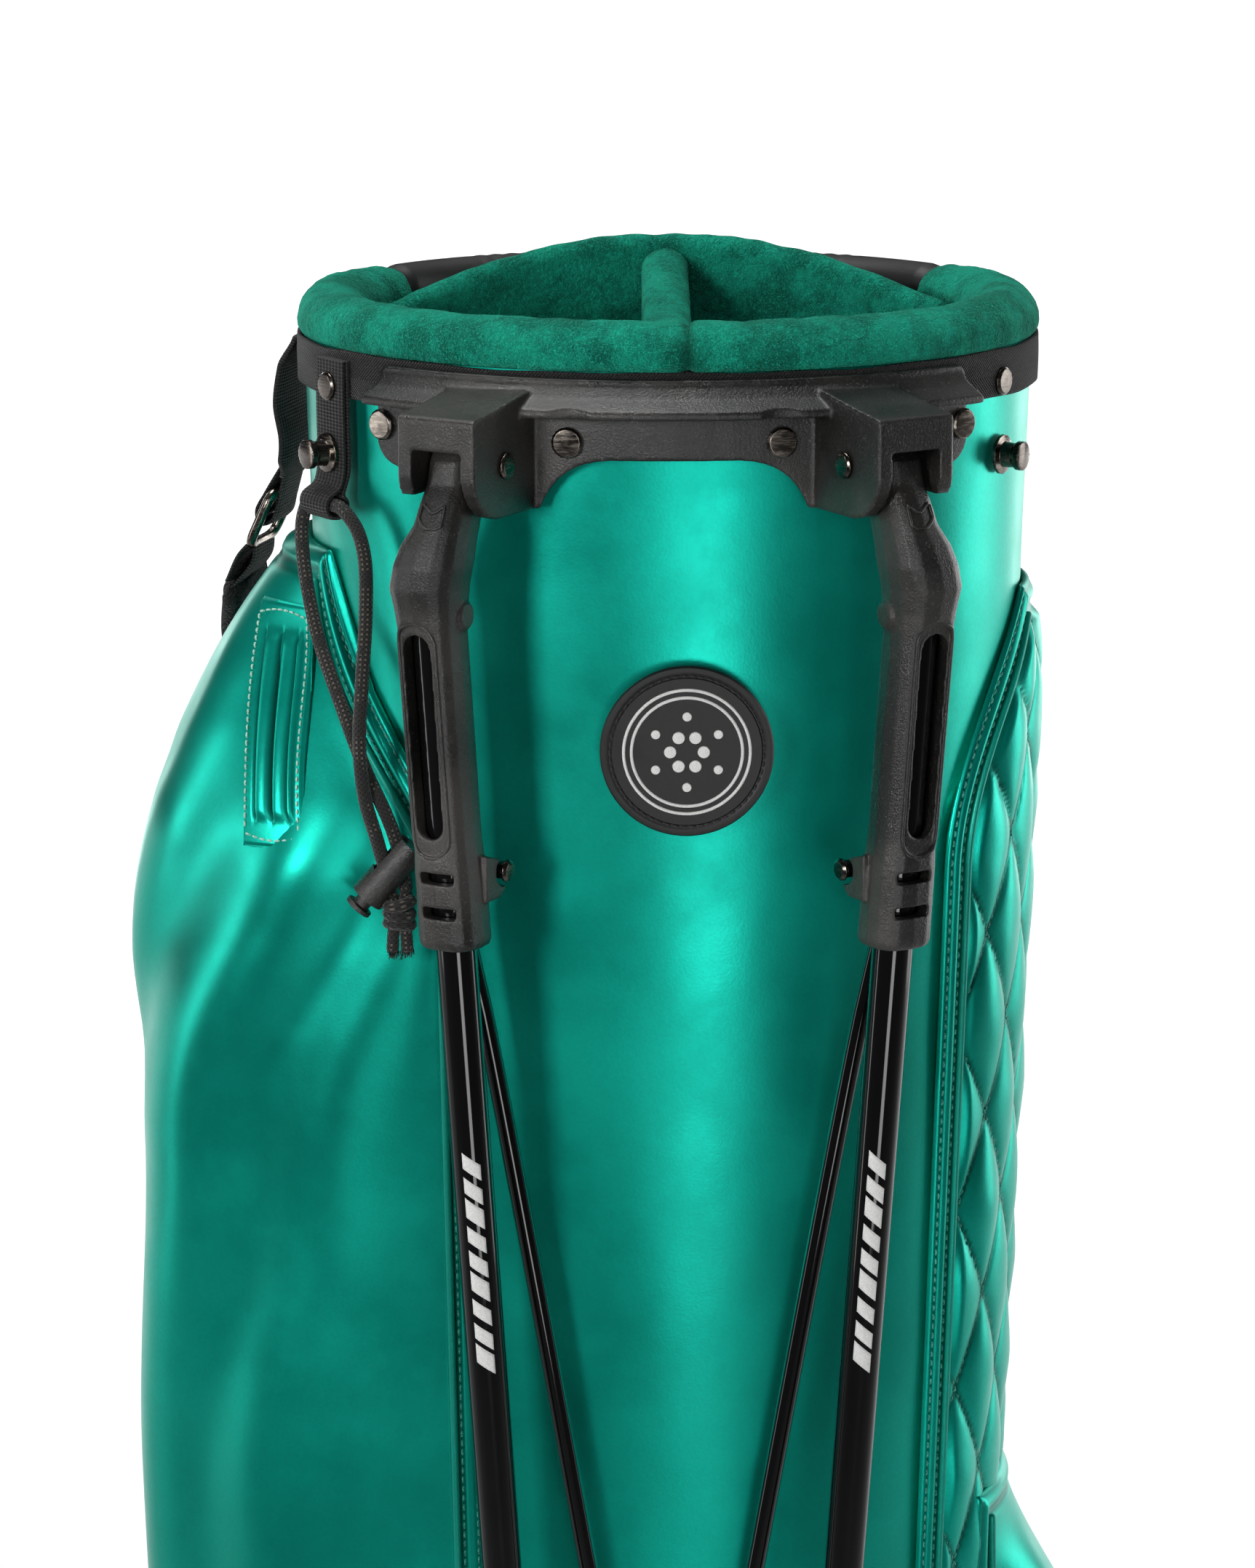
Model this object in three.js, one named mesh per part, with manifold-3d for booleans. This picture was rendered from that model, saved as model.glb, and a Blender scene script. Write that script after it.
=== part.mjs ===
// Golf stand bag: an oval bag body with a plush top cuff, a moulded bracket that carries two
// fold-out legs, the wire rods and hinged base that work them, side pockets and strap hardware.
// Millimetres, +Z up, +X across the bag, -Y towards the legs. The origin is the middle of the
// base's underside, where the bag stands.
import * as THREE from 'three';
import { mergeVertices } from 'three/addons/utils/BufferGeometryUtils.js';
import Module from 'manifold-3d';

const wasm = await Module();
wasm.setup();

// ---- Driving dimensions ----
const GAP = 0.3; // clearance between pieces that touch

// Bag body: half axes of the oval at three heights
const BODY_FOOT = { z: 56, a: 102, b: 88 };
const BODY_WAIST = { z: 400, a: 104, b: 90 };
const BODY_TOP = { z: 866, a: 118, b: 98 };
const SHELL_WALL = 2.4;

// Cuff: a moulded core ring, wrapped in plush at the front and sides and gripped at the back
const CUFF = { a: 109, b: 91 };
const CUFF_CORE = { half: 3, low: 846, high: 876 };
const CUFF_CREST_Z = 881;
const PLUSH_HALF = 11;
const GRIP_START = 33;
const GRIP_END = 147;

// Band and bracket
const BAND = { low: 851, high: 866, inner: 0.6, outer: 1.9 };
const BRACKET_INNER = { a: 120.2, b: 100.2 };
const BRACKET_PLATE = 3;
const BRACKET_TOP_Z = 864.5;
const BRACKET_HALF_WIDTH = 91;

// Leg pivots: the middle of each pivot box, with its axis turned 30 degrees in plan
const PIVOT = { x: 63.1, y: -105, z: 840 };
const PIVOT_YAW = 30;
const BOX_HALF_WIDTH = 13.5;
const BOX_FRONT = 18.6;
const SLOT_HALF_WIDTH = 8.7;
const PIN_RADIUS = 2.5;

// Legs: the axis line of a folded leg, from its foot to the top of its socket
const LEG_FOOT = { x: 29, y: -112, z: 70 };
const LEG_HEAD = { x: 73.6, y: -116, z: 789 };
const TUBE_RADIUS = 6.35;
const TUBE_WALL = 1.1;
const SOCKET_BORE = 6.65;
const SOCKET_END_Z = 691;
const EAR_Z = 713;
const FOOT_RADIUS = 12;

// Actuator rods
const ROD_RADIUS = 3;
const ROD_BACK = 13.5; // behind the leg's axis at the ear
const ROD_BOTTOM = { x: 12, y: -94.5, z: 12 };

// Base
const BOOT_TOP_Z = 75;
const SLAB = { low: 50, high: 54 };
const HINGE = { y: -12, z: 8 };

// ---- Small helpers ----
const radians = THREE.MathUtils.degToRad;
const vector = (x, y, z) => new THREE.Vector3(x, y, z);
const range = (count, make) => Array.from({ length: count }, (_, i) => make(i));
const between = (from, to, count) => range(count, (i) => from + ((to - from) * i) / (count - 1));
const group = new THREE.Group();

const COLOURS = {
  leather: [0x0a7f66, 0.55, 0],
  plush: [0x0e7a5f, 1, 0],
  webbing: [0x1c1b1b, 0.9, 0],
  moulding: [0x23211f, 0.6, 0],
  gloss: [0x0c0c0d, 0.15, 0],
  rubber: [0x17181a, 0.8, 0],
  metal: [0x8a7d70, 0.3, 1],
  cord: [0x2c2825, 0.9, 0],
};

function add(name, geometry, look) {
  const [color, roughness, metalness] = COLOURS[look];
  const material = new THREE.MeshStandardMaterial({ color, roughness, metalness });
  const mesh = new THREE.Mesh(geometry, material);
  mesh.name = name;
  group.add(mesh);
  return mesh;
}

// Adds a left-hand piece and its mirror image in the plane X = 0.
function addPair(name, geometry, look) {
  add(`${name}_left`, geometry, look);
  add(`${name}_right`, mirrored(geometry), look);
}

function bareGeometry(positions, triangles) {
  const geometry = new THREE.BufferGeometry();
  geometry.setAttribute('position', new THREE.Float32BufferAttribute(positions, 3));
  geometry.setIndex(triangles);
  return geometry;
}

function flipped(triangles) {
  const turned = [];
  for (let i = 0; i < triangles.length; i += 3) {
    turned.push(triangles[i], triangles[i + 2], triangles[i + 1]);
  }
  return turned;
}

function mirrored(geometry) {
  const positions = Array.from(geometry.attributes.position.array);
  for (let i = 0; i < positions.length; i += 3) {
    positions[i] = -positions[i];
  }
  const count = positions.length / 3;
  const triangles = geometry.index ? Array.from(geometry.index.array) : range(count, (i) => i);
  return bareGeometry(positions, flipped(triangles));
}

function signedVolume(positions, triangles) {
  const at = (i) => vector(positions[3 * i], positions[3 * i + 1], positions[3 * i + 2]);
  let volume = 0;
  for (let i = 0; i < triangles.length; i += 3) {
    volume += at(triangles[i]).dot(at(triangles[i + 1]).cross(at(triangles[i + 2])));
  }
  return volume / 6;
}

// The triangles that close one end of a loft, wound the way its outline runs.
function capTriangles(section) {
  const middle = section.reduce((sum, p) => sum.add(p), vector(0, 0, 0)).divideScalar(section.length);
  const normal = vector(0, 0, 0);
  section.forEach((p, i) => {
    const q = section[(i + 1) % section.length];
    normal.add(p.clone().sub(middle).cross(q.clone().sub(middle)));
  });
  normal.normalize();
  const side = section[0].clone().sub(middle);
  side.addScaledVector(normal, -side.dot(normal)).normalize();
  const up = normal.clone().cross(side);
  const flat = section.map((p) => {
    const offset = p.clone().sub(middle);
    return new THREE.Vector2(offset.dot(side), offset.dot(up));
  });
  return THREE.ShapeUtils.triangulateShape(flat, []).map(([i, j, k]) => {
    const turn = flat[j].clone().sub(flat[i]).cross(flat[k].clone().sub(flat[i]));
    return turn > 0 ? [i, j, k] : [i, k, j];
  });
}

// A closed body through a row of sections with the same number of points.
// An open row is capped at both ends, and a closed one joins up into a ring.
function loft(sections, closed = false) {
  const count = sections[0].length;
  const positions = sections.flat().flatMap((p) => [p.x, p.y, p.z]);
  const triangles = [];
  const spans = closed ? sections.length : sections.length - 1;
  for (let i = 0; i < spans; i += 1) {
    const here = i * count;
    const next = ((i + 1) % sections.length) * count;
    for (let j = 0; j < count; j += 1) {
      const k = (j + 1) % count;
      triangles.push(here + j, here + k, next + k, here + j, next + k, next + j);
    }
  }
  if (!closed) {
    const last = (sections.length - 1) * count;
    capTriangles(sections[0]).forEach(([i, j, k]) => triangles.push(i, k, j));
    capTriangles(sections.at(-1)).forEach(([i, j, k]) => triangles.push(last + i, last + j, last + k));
  }
  const outward = signedVolume(positions, triangles) > 0;
  return bareGeometry(positions, outward ? triangles : flipped(triangles));
}

// ---- Booleans ----
function toSolid(geometry) {
  const bare = geometry.clone();
  bare.deleteAttribute('normal');
  bare.deleteAttribute('uv');
  const merged = mergeVertices(bare, 1e-4);
  const vertProperties = Float32Array.from(merged.attributes.position.array);
  const triVerts = Uint32Array.from(merged.index.array);
  return new wasm.Manifold(new wasm.Mesh({ numProp: 3, vertProperties, triVerts }));
}

function toGeometry(solid) {
  const mesh = solid.getMesh();
  return bareGeometry(Array.from(mesh.vertProperties), Array.from(mesh.triVerts));
}

const joined = (...geometries) => geometries.map(toSolid).reduce((all, one) => all.add(one));
const cut = (solid, ...tools) => tools.map(toSolid).reduce((left, tool) => left.subtract(tool), solid);

// ---- Ovals around the body ----
function bodyHalves(z) {
  const [low, high] = z < BODY_WAIST.z ? [BODY_FOOT, BODY_WAIST] : [BODY_WAIST, BODY_TOP];
  const share = (z - low.z) / (high.z - low.z);
  return { a: low.a + (high.a - low.a) * share, b: low.b + (high.b - low.b) * share };
}

function ovalNormal({ a, b }, degrees) {
  const t = radians(degrees);
  return vector(Math.cos(t) / a, Math.sin(t) / b, 0).normalize();
}

function ovalPoint(halves, degrees, z, offset = 0) {
  const t = radians(degrees);
  const point = vector(halves.a * Math.cos(t), halves.b * Math.sin(t), z);
  return point.addScaledVector(ovalNormal(halves, degrees), offset);
}

const bodyPoint = (degrees, z, offset = 0) => ovalPoint(bodyHalves(z), degrees, z, offset);

// Sweeps a profile of [offset, z] pairs round an oval, from one angle to another or all the way.
function ovalSweep(halves, profile, from, to, steps) {
  const whole = Math.abs(to - from) === 360;
  const angles = whole ? range(steps, (i) => from + (360 * i) / steps) : between(from, to, steps + 1);
  const sectionAt = (angle) => profile.map(([offset, z]) => ovalPoint(halves, angle, z, offset));
  return loft(angles.map(sectionAt), whole);
}

// A solid oval column through a list of { z, a, b } stations.
function ovalColumn(stations, steps = 40) {
  const loop = (halves) => range(steps, (i) => ovalPoint(halves, (360 * i) / steps, halves.z));
  return loft(stations.map(loop));
}

// The angle on the front of an oval where it passes a given X.
const frontAngle = (halves, x) => -THREE.MathUtils.radToDeg(Math.acos(x / halves.a));

// ---- Plain shapes placed by their middle ----
function boxAt(x, y, z, width, depth, height) {
  return new THREE.BoxGeometry(width, depth, height).translate(x, y, z);
}

function pointAlong(geometry, from, to) {
  const direction = to.clone().sub(from).normalize();
  const turn = new THREE.Quaternion().setFromUnitVectors(vector(0, 1, 0), direction);
  return geometry.applyQuaternion(turn).translate(from.x, from.y, from.z);
}

// A rod of round section between two points.
function roundBar(from, to, radius, sides = 16) {
  const length = from.distanceTo(to);
  const bar = new THREE.CylinderGeometry(radius, radius, length, sides).translate(0, length / 2, 0);
  return pointAlong(bar, from, to);
}

// A turned shape whose [radius, height] profile stands on a point and rises along a direction.
function turned(profile, base, direction, sides = 20) {
  const points = profile.map(([r, h]) => new THREE.Vector2(r, h));
  return pointAlong(new THREE.LatheGeometry(points, sides), base, base.clone().add(direction));
}

function tubeAlong(points, radius, steps, sides) {
  const section = new THREE.Shape().absarc(0, 0, radius, 0, Math.PI * 2);
  const path = new THREE.CatmullRomCurve3(points, false, 'centripetal');
  const options = { steps, curveSegments: sides / 2, bevelEnabled: false, extrudePath: path };
  return new THREE.ExtrudeGeometry(section, options);
}

// ---- Local directions of the left leg ----
const ACROSS = vector(Math.cos(radians(PIVOT_YAW)), -Math.sin(radians(PIVOT_YAW)), 0);
const OUTWARD = vector(-Math.sin(radians(PIVOT_YAW)), -Math.cos(radians(PIVOT_YAW)), 0);
const UP = vector(0, 0, 1);

// A point given by its distances across, outward and up from a left-hand centre.
function local(centre, across, outward, up = 0) {
  const point = centre.clone().addScaledVector(ACROSS, across);
  return point.addScaledVector(OUTWARD, outward).addScaledVector(UP, up);
}

// A box in the left leg's directions, from a low corner to a high corner.
function localBox(centre, low, high) {
  const corners = [[0, 0], [1, 0], [1, 1], [0, 1]];
  const pick = (i, side) => (side ? high[i] : low[i]);
  const loop = (z) => corners.map(([u, v]) => local(centre, pick(0, u), pick(1, v), z));
  return loft([loop(low[2]), loop(high[2])]);
}

// Extrudes a closed outline of [outward, up] points across the left leg's plane.
function localPrism(centre, outline, from, to) {
  return loft([from, to].map((across) => outline.map(([o, u]) => local(centre, across, o, u))));
}

const PIVOT_CENTRE = vector(-PIVOT.x, PIVOT.y, PIVOT.z);

function legAxis(z) {
  const share = (z - LEG_FOOT.z) / (LEG_HEAD.z - LEG_FOOT.z);
  const x = LEG_FOOT.x + (LEG_HEAD.x - LEG_FOOT.x) * share;
  const y = LEG_FOOT.y + (LEG_HEAD.y - LEG_FOOT.y) * share;
  return vector(-x, y, z);
}

// ---- Bag body and cuff ----
function bodyShell() {
  const heights = [BODY_FOOT.z, BODY_WAIST.z, BODY_TOP.z];
  const outer = heights.map((z) => [0, z]);
  const inner = heights.toReversed().map((z) => [-SHELL_WALL, z]);
  const profile = [...outer, ...inner];
  const sectionAt = (angle) => profile.map(([offset, z]) => bodyPoint(angle, z, offset));
  return loft(range(40, (i) => sectionAt(9 * i)), true);
}

function cuffRing() {
  const { half, low, high } = CUFF_CORE;
  const profile = [[half, low], [half, high], [-half, high], [-half, low]];
  return ovalSweep(CUFF, profile, 0, 360, 40);
}

// A sleeve folded over the core ring: round outside, with a slot for the core.
function cuffSleeve(halfWidth, crestZ, outerLow, innerLow, from, to, steps) {
  const slot = CUFF_CORE.half + 0.8;
  const slotTop = CUFF_CORE.high + GAP;
  const centreZ = crestZ - halfWidth;
  const crown = between(0, 180, 8).map((degrees) => {
    const t = radians(degrees);
    return [halfWidth * Math.cos(t), centreZ + halfWidth * Math.sin(t)];
  });
  const outside = [[slot, outerLow], [halfWidth - 2, outerLow]];
  const inside = [[-halfWidth + 1, innerLow], [-slot, innerLow], [-slot, slotTop], [slot, slotTop]];
  return ovalSweep(CUFF, [...outside, ...crown, ...inside], from, to, steps);
}

function plushRim() {
  const from = GRIP_END + GAP;
  const to = GRIP_START + 360 - GAP;
  return cuffSleeve(PLUSH_HALF, CUFF_CREST_Z, BAND.high + 0.4, 852, from, to, 30);
}

// The upright section of a padded wall: straight sides and a narrowed top edge.
function wallProfile(halfThick, halfTop, shoulder, top) {
  const low = 802;
  return [
    [halfThick, low],
    [halfThick, top - shoulder],
    [halfTop, top],
    [-halfTop, top],
    [-halfThick, top - shoulder],
    [-halfThick, low],
  ];
}

// The inner wall bows back across the mouth and its top edge rises in the middle.
function backWall() {
  const reach = 90;
  const bow = 39;
  const sections = between(-1, 1, 15).map((share) => {
    const x = reach * share;
    const y = 53 - bow * share * share;
    const top = 890.5 - 18 * share * share;
    const along = vector(reach, -2 * bow * share, 0).normalize();
    const across = vector(-along.y, along.x, 0);
    const profile = wallProfile(4, 1.6, 4, top);
    return profile.map(([offset, z]) => vector(x, y, z).addScaledVector(across, offset));
  });
  return loft(sections);
}

function centreDivider() {
  const stations = [[48.4, 886], [30, 880], [0, 873], [-40, 868], [-78, 867]];
  return loft(stations.map(([y, top]) => wallProfile(8, 4, 6, top).map(([x, z]) => vector(x, y, z))));
}

function twillBand() {
  const { low, high, inner, outer } = BAND;
  return ovalSweep(BODY_TOP, [[outer, low], [outer, high], [inner, high], [inner, low]], 0, 360, 48);
}

// A stiffening rod inside the body, from the base up to the cuff ring.
function stayRod(degrees) {
  const foot = ovalPoint({ a: 95, b: 82 }, degrees, SLAB.high + GAP);
  const head = ovalPoint({ a: 100, b: 86 }, degrees, CUFF_CORE.low - GAP);
  return roundBar(foot, head, 3.5, 10);
}

// ---- Bracket ----
function bracketOutline() {
  const shape = new THREE.Shape();
  shape.moveTo(-BRACKET_HALF_WIDTH + 4, BRACKET_TOP_Z);
  shape.quadraticCurveTo(-BRACKET_HALF_WIDTH, BRACKET_TOP_Z, -BRACKET_HALF_WIDTH, BRACKET_TOP_Z - 5);
  shape.lineTo(-BRACKET_HALF_WIDTH - 0.8, 842);
  shape.quadraticCurveTo(-BRACKET_HALF_WIDTH, 834, -84, 833);
  shape.lineTo(-60, 824);
  shape.lineTo(-41, 824);
  shape.quadraticCurveTo(-36, 839, -20, 839.5);
  shape.lineTo(20, 839.5);
  shape.quadraticCurveTo(36, 839, 41, 824);
  shape.lineTo(60, 824);
  shape.lineTo(84, 833);
  shape.quadraticCurveTo(BRACKET_HALF_WIDTH, 834, BRACKET_HALF_WIDTH + 0.8, 842);
  shape.lineTo(BRACKET_HALF_WIDTH, BRACKET_TOP_Z - 5);
  shape.quadraticCurveTo(BRACKET_HALF_WIDTH, BRACKET_TOP_Z, BRACKET_HALF_WIDTH - 4, BRACKET_TOP_Z);
  return shape;
}

function bracketPlate() {
  const options = { depth: 110, curveSegments: 8, bevelEnabled: false };
  const flat = new THREE.ExtrudeGeometry(bracketOutline(), options);
  flat.rotateX(Math.PI / 2);
  const low = 815;
  const high = 872;
  const ring = [[BRACKET_PLATE, low], [BRACKET_PLATE, high], [0, high], [0, low]];
  return toSolid(flat).intersect(toSolid(ovalSweep(BRACKET_INNER, ring, -152, -28, 30)));
}

// The shelf: a bevelled strip round the top that flares out into a thin lip.
function bracketShelf() {
  const bevel = [[0, BRACKET_TOP_Z], [1.4, BRACKET_TOP_Z], [6.6, 859]];
  const lip = [[12, 856.2], [12.6, 855.4], [12.6, 853.4], [0, 853.4]];
  const profile = [...bevel, ...lip];
  const shelf = toSolid(ovalSweep(BRACKET_INNER, profile, -137, -43, 30));
  const scallop = (side) => roundBar(vector(side * 35, -122, 840), vector(side * 35, -122, 859.2), 14.5, 32);
  return cut(shelf, scallop(-1), scallop(1));
}

// The box round one pivot, before its slot is cut: a rounded lower front corner and a sloping top.
function pivotBlock() {
  const under = [[-24, 22.5], [-24, -16], [4, -16], [10, -14.5], [14.5, -11], [17.3, -7]];
  const front = [[BOX_FRONT, -3], [BOX_FRONT, 15], [17.6, 16], [6, 17.5]];
  const outline = [...under, ...front];
  return localPrism(PIVOT_CENTRE, outline, -BOX_HALF_WIDTH, BOX_HALF_WIDTH);
}

function pivotCavity() {
  const mouth = [[-13, -30], [40, -30], [40, 5.5], [15.4, 5.5]];
  const roof = [[15.4, 12], [13.5, 13.5], [-11, 13.5], [-13, 11]];
  const outline = [...mouth, ...roof];
  return localPrism(PIVOT_CENTRE, outline, -SLOT_HALF_WIDTH, SLOT_HALF_WIDTH);
}

// The outer jamb of a pivot box stops higher than the inner one, clear of the leg's grip.
function jambRelief() {
  return localBox(PIVOT_CENTRE, [-20, -15, -20], [-SLOT_HALF_WIDTH + 0.2, 30, -8.5]);
}

function pinBar(radius, from, to) {
  return roundBar(local(PIVOT_CENTRE, from, 0), local(PIVOT_CENTRE, to, 0), radius, 16);
}

// The four bracket rivets: [x, z] of each left-hand one, on the plate's outer face.
const INNER_RIVET = { x: -32, z: 845 };
const TAB_RIVET = { x: -88, z: 846 };

function rivetSeat({ x, z }) {
  const angle = frontAngle(BRACKET_INNER, x);
  const base = ovalPoint(BRACKET_INNER, angle, z, BRACKET_PLATE);
  return { base, normal: ovalNormal(BRACKET_INNER, angle) };
}

function rivet(place) {
  const { base, normal } = rivetSeat(place);
  const profile = [[0, -2.8], [1.9, -2.8], [1.9, 0.2], [4.9, 0.2], [4.9, 1], [4.2, 1.7], [0, 1.9]];
  return turned(profile, base, normal, 16);
}

function rivetHole(place) {
  const { base, normal } = rivetSeat(place);
  const offBy = (distance) => base.clone().addScaledVector(normal, distance);
  return roundBar(offBy(-8), offBy(5), 2.2, 16);
}

function topBracket() {
  const block = pivotBlock();
  const bodySpace = ovalColumn([{ z: 800, ...BRACKET_INNER }, { z: 880, ...BRACKET_INNER }], 120);
  const holes = [INNER_RIVET, TAB_RIVET].map(rivetHole);
  const pinHole = pinBar(PIN_RADIUS + GAP, -20, 20);
  const sideTools = [pivotCavity(), jambRelief(), pinHole, ...holes];
  const whole = bracketPlate().add(bracketShelf()).add(toSolid(block)).add(toSolid(mirrored(block)));
  return toGeometry(cut(whole, bodySpace, ...sideTools, ...sideTools.map(mirrored)));
}

function pivotPin() {
  const start = local(PIVOT_CENTRE, -BOX_HALF_WIDTH + 0.5, 0);
  const reach = 2 * BOX_HALF_WIDTH - 0.5;
  const shank = [[0, 0], [PIN_RADIUS, 0], [PIN_RADIUS, reach + GAP]];
  const head = [[4.2, reach + GAP], [4.2, reach + 0.9], [3.4, reach + 1.6], [0, reach + 1.8]];
  return turned([...shank, ...head], start, ACROSS, 16);
}

// ---- Legs ----
// Sections of the socket down its length: height, width across, depth outward and, above the
// straight part, the middle of the section.
const SOCKET_STATIONS = [
  { z: 846.5, width: 15.4, depth: 16, middle: local(PIVOT_CENTRE, 0, 2) },
  { z: 842, width: 15.4, depth: 22, middle: local(PIVOT_CENTRE, 0, 3) },
  { z: 835, width: 15.6, depth: 24, middle: local(PIVOT_CENTRE, 0, 4) },
  { z: 829, width: 15.8, depth: 23, middle: local(PIVOT_CENTRE, -0.2, 8.5) },
  { z: 823, width: 16.6, depth: 23, middle: local(PIVOT_CENTRE, -0.3, 11.5) },
  { z: 817, width: 20.2, depth: 24, middle: local(PIVOT_CENTRE, -2, 13.6) },
  { z: 811, width: 22, depth: 25, middle: local(PIVOT_CENTRE, -3, 15) },
  { z: 804, width: 22, depth: 24.5 },
  { z: 797, width: 20.4, depth: 22 },
  { z: 789, width: 19.2, depth: 20.6 },
  { z: 725, width: 19, depth: 20 },
  { z: 716, width: 20, depth: 21 },
  { z: SOCKET_END_Z + 2, width: 20.4, depth: 21.4 },
  { z: SOCKET_END_Z, width: 19, depth: 20 },
];

function roundedSection({ z, width, depth, middle }) {
  const centre = middle ? middle.clone().setZ(z) : legAxis(z);
  const squareness = 0.72;
  const bow = (value) => Math.sign(value) * Math.abs(value) ** squareness;
  return range(16, (i) => {
    const t = radians(22.5 * i);
    return local(centre, (width / 2) * bow(Math.cos(t)), (depth / 2) * bow(Math.sin(t)));
  });
}

// A pill-shaped cutter that looks into the socket from outside.
function pillCutter(z, length, width, across, from, to) {
  const radius = width / 2;
  const half = length / 2 - radius;
  const arc = (start) => between(start, start + 180, 7).map((degrees) => {
    const t = radians(degrees);
    return [radius * Math.cos(t), (start === 0 ? half : -half) + radius * Math.sin(t)];
  });
  const outline = [...arc(0), ...arc(180)];
  const centre = legAxis(z);
  const lean = legAxis(z + 1).sub(centre);
  const place = ([u, v], outward) => local(centre, u + across, outward).addScaledVector(lean, v);
  return loft([from, to].map((outward) => outline.map((point) => place(point, outward))));
}

// A short slot across the socket, as wide as it is asked to be.
function crossSlot(z, height) {
  return localBox(legAxis(z), [-5.2, 0, -height / 2], [6.2, 14, height / 2]);
}

function earOutline() {
  const round = between(-150, 60, 6).map((degrees) => {
    const t = radians(degrees);
    return [-ROD_BACK + 0.4 + 5 * Math.cos(t), 5 * Math.sin(t)];
  });
  return [...round, [-2, 7], [-2, -8], [-11, -8]];
}

function legSocket() {
  const body = loft(SOCKET_STATIONS.map(roundedSection));
  const ear = legAxis(EAR_Z);
  const plate = localPrism(ear, earOutline(), 7.2, 11.6);
  const buttonProfile = [[0, 0], [4.6, 0], [4.6, 2.2], [3.8, 3], [0, 3]];
  const button = turned(buttonProfile, local(legAxis(795), 8, -3), ACROSS, 16);
  const boreTop = legAxis(798);
  const boreEnd = legAxis(SOCKET_END_Z - 4);
  const earHole = roundBar(local(ear, 0, -ROD_BACK), local(ear, 20, -ROD_BACK), ROD_RADIUS + 0.35, 16);
  const whole = joined(body, plate, button);
  const crescent = (z, outward) => {
    const scoop = new THREE.SphereGeometry(8.5, 16, 10).scale(1, 1, 1.15);
    const middle = local(legAxis(z), 0.5, outward);
    return scoop.translate(middle.x, middle.y, middle.z);
  };
  return toGeometry(cut(
    whole,
    roundBar(boreEnd, boreTop, SOCKET_BORE, 24),
    pillCutter(758, 64, 9.6, -1, 0, 14),
    pillCutter(757, 74, 15.6, -1, 9, 14),
    crossSlot(714, 3.4),
    crossSlot(703, 3.4),
    pinBar(PIN_RADIUS + GAP, -20, 20),
    earHole,
    crescent(828, 20.4),
    crescent(816, 19.6),
  ));
}

function legTube() {
  const foot = legAxis(76);
  const head = legAxis(795);
  const inner = TUBE_RADIUS - TUBE_WALL;
  const length = foot.distanceTo(head);
  const profile = [[inner, 0], [TUBE_RADIUS, 0], [TUBE_RADIUS, length], [inner, length], [inner, 0]];
  return turned(profile, foot, head.sub(foot).normalize(), 20);
}

function legFoot() {
  const base = legAxis(62);
  const direction = legAxis(63).sub(base).normalize();
  const outside = [[0, 0], [9, 0], [FOOT_RADIUS, 3], [FOOT_RADIUS, 12], [9.4, 18], [9, 40]];
  const inside = [[SOCKET_BORE, 42], [SOCKET_BORE, 13], [0, 13]];
  return turned([...outside, ...inside], base, direction, 20);
}

// The wire rod: a short end turned into the socket's ear, then down behind the leg to the base.
function actuatorRod() {
  const ear = legAxis(EAR_Z);
  const side = -6.6;
  const bend = local(ear, side, -ROD_BACK);
  const start = local(ear, 11.4, -ROD_BACK);
  const points = [
    start,
    local(ear, 2, -ROD_BACK),
    local(ear, side + 5, -ROD_BACK),
    bend.clone().add(vector(1.2, 0, -1.6)),
    bend.clone().add(vector(0.6, 0, -9)),
    vector(-58.6, -98.6, 660),
    vector(-30, -98, 494),
    vector(-17, -97.6, 415),
    vector(-12.4, -97.2, 370),
    vector(-ROD_BOTTOM.x, -96.4, 250),
    vector(-ROD_BOTTOM.x, ROD_BOTTOM.y, ROD_BOTTOM.z),
  ];
  return tubeAlong(points, ROD_RADIUS, 44, 8);
}

function rodRetainer() {
  const base = local(legAxis(EAR_Z), 11.9, -ROD_BACK);
  return turned([[0, 0], [3.6, 0], [3.6, 0.6], [2.6, 1.4], [0, 1.6]], base, ACROSS, 16);
}

// ---- Base ----
// A round bar on the base hinge's axis.
function hingeBar(reach, radius, sides = 16) {
  return roundBar(vector(-reach, HINGE.y, HINGE.z), vector(reach, HINGE.y, HINGE.z), radius, sides);
}

function baseBoot() {
  const wall = 4;
  const outer = [
    { z: 0, a: 108, b: 104 },
    { z: 8, a: 111, b: 107 },
    { z: 30, a: 111, b: 107 },
    { z: BOOT_TOP_Z, a: 106, b: 92 },
  ];
  const shrunk = outer.slice(0, 3).map(({ z, a, b }) => ({ z, a: a - wall, b: b - wall }));
  const last = { z: SLAB.low, a: 105, b: 94.5 };
  const cavity = ovalColumn([{ z: -1, a: 104, b: 100 }, ...shrunk, last]);
  const collar = ovalColumn([{ z: SLAB.high, a: 102.7, b: 88.7 }, { z: BOOT_TOP_Z + 1, a: 102.7, b: 88.7 }]);
  const floor = toSolid(cavity).intersect(toSolid(boxAt(0, 60 - 6, 2, 240, 120, 4)));
  const walls = cut(toSolid(ovalColumn(outer)), cavity, collar);
  const lug = (side) => boxAt(side * 63, HINGE.y + 2, 6.5, 6, 14, 13);
  const pinHole = hingeBar(80, PIN_RADIUS + GAP);
  const notch = boxAt(0, -104, 37, 66, 40, 80);
  const whole = walls.add(floor).add(toSolid(lug(-1))).add(toSolid(lug(1)));
  return toGeometry(cut(whole, pinHole, notch));
}

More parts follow.
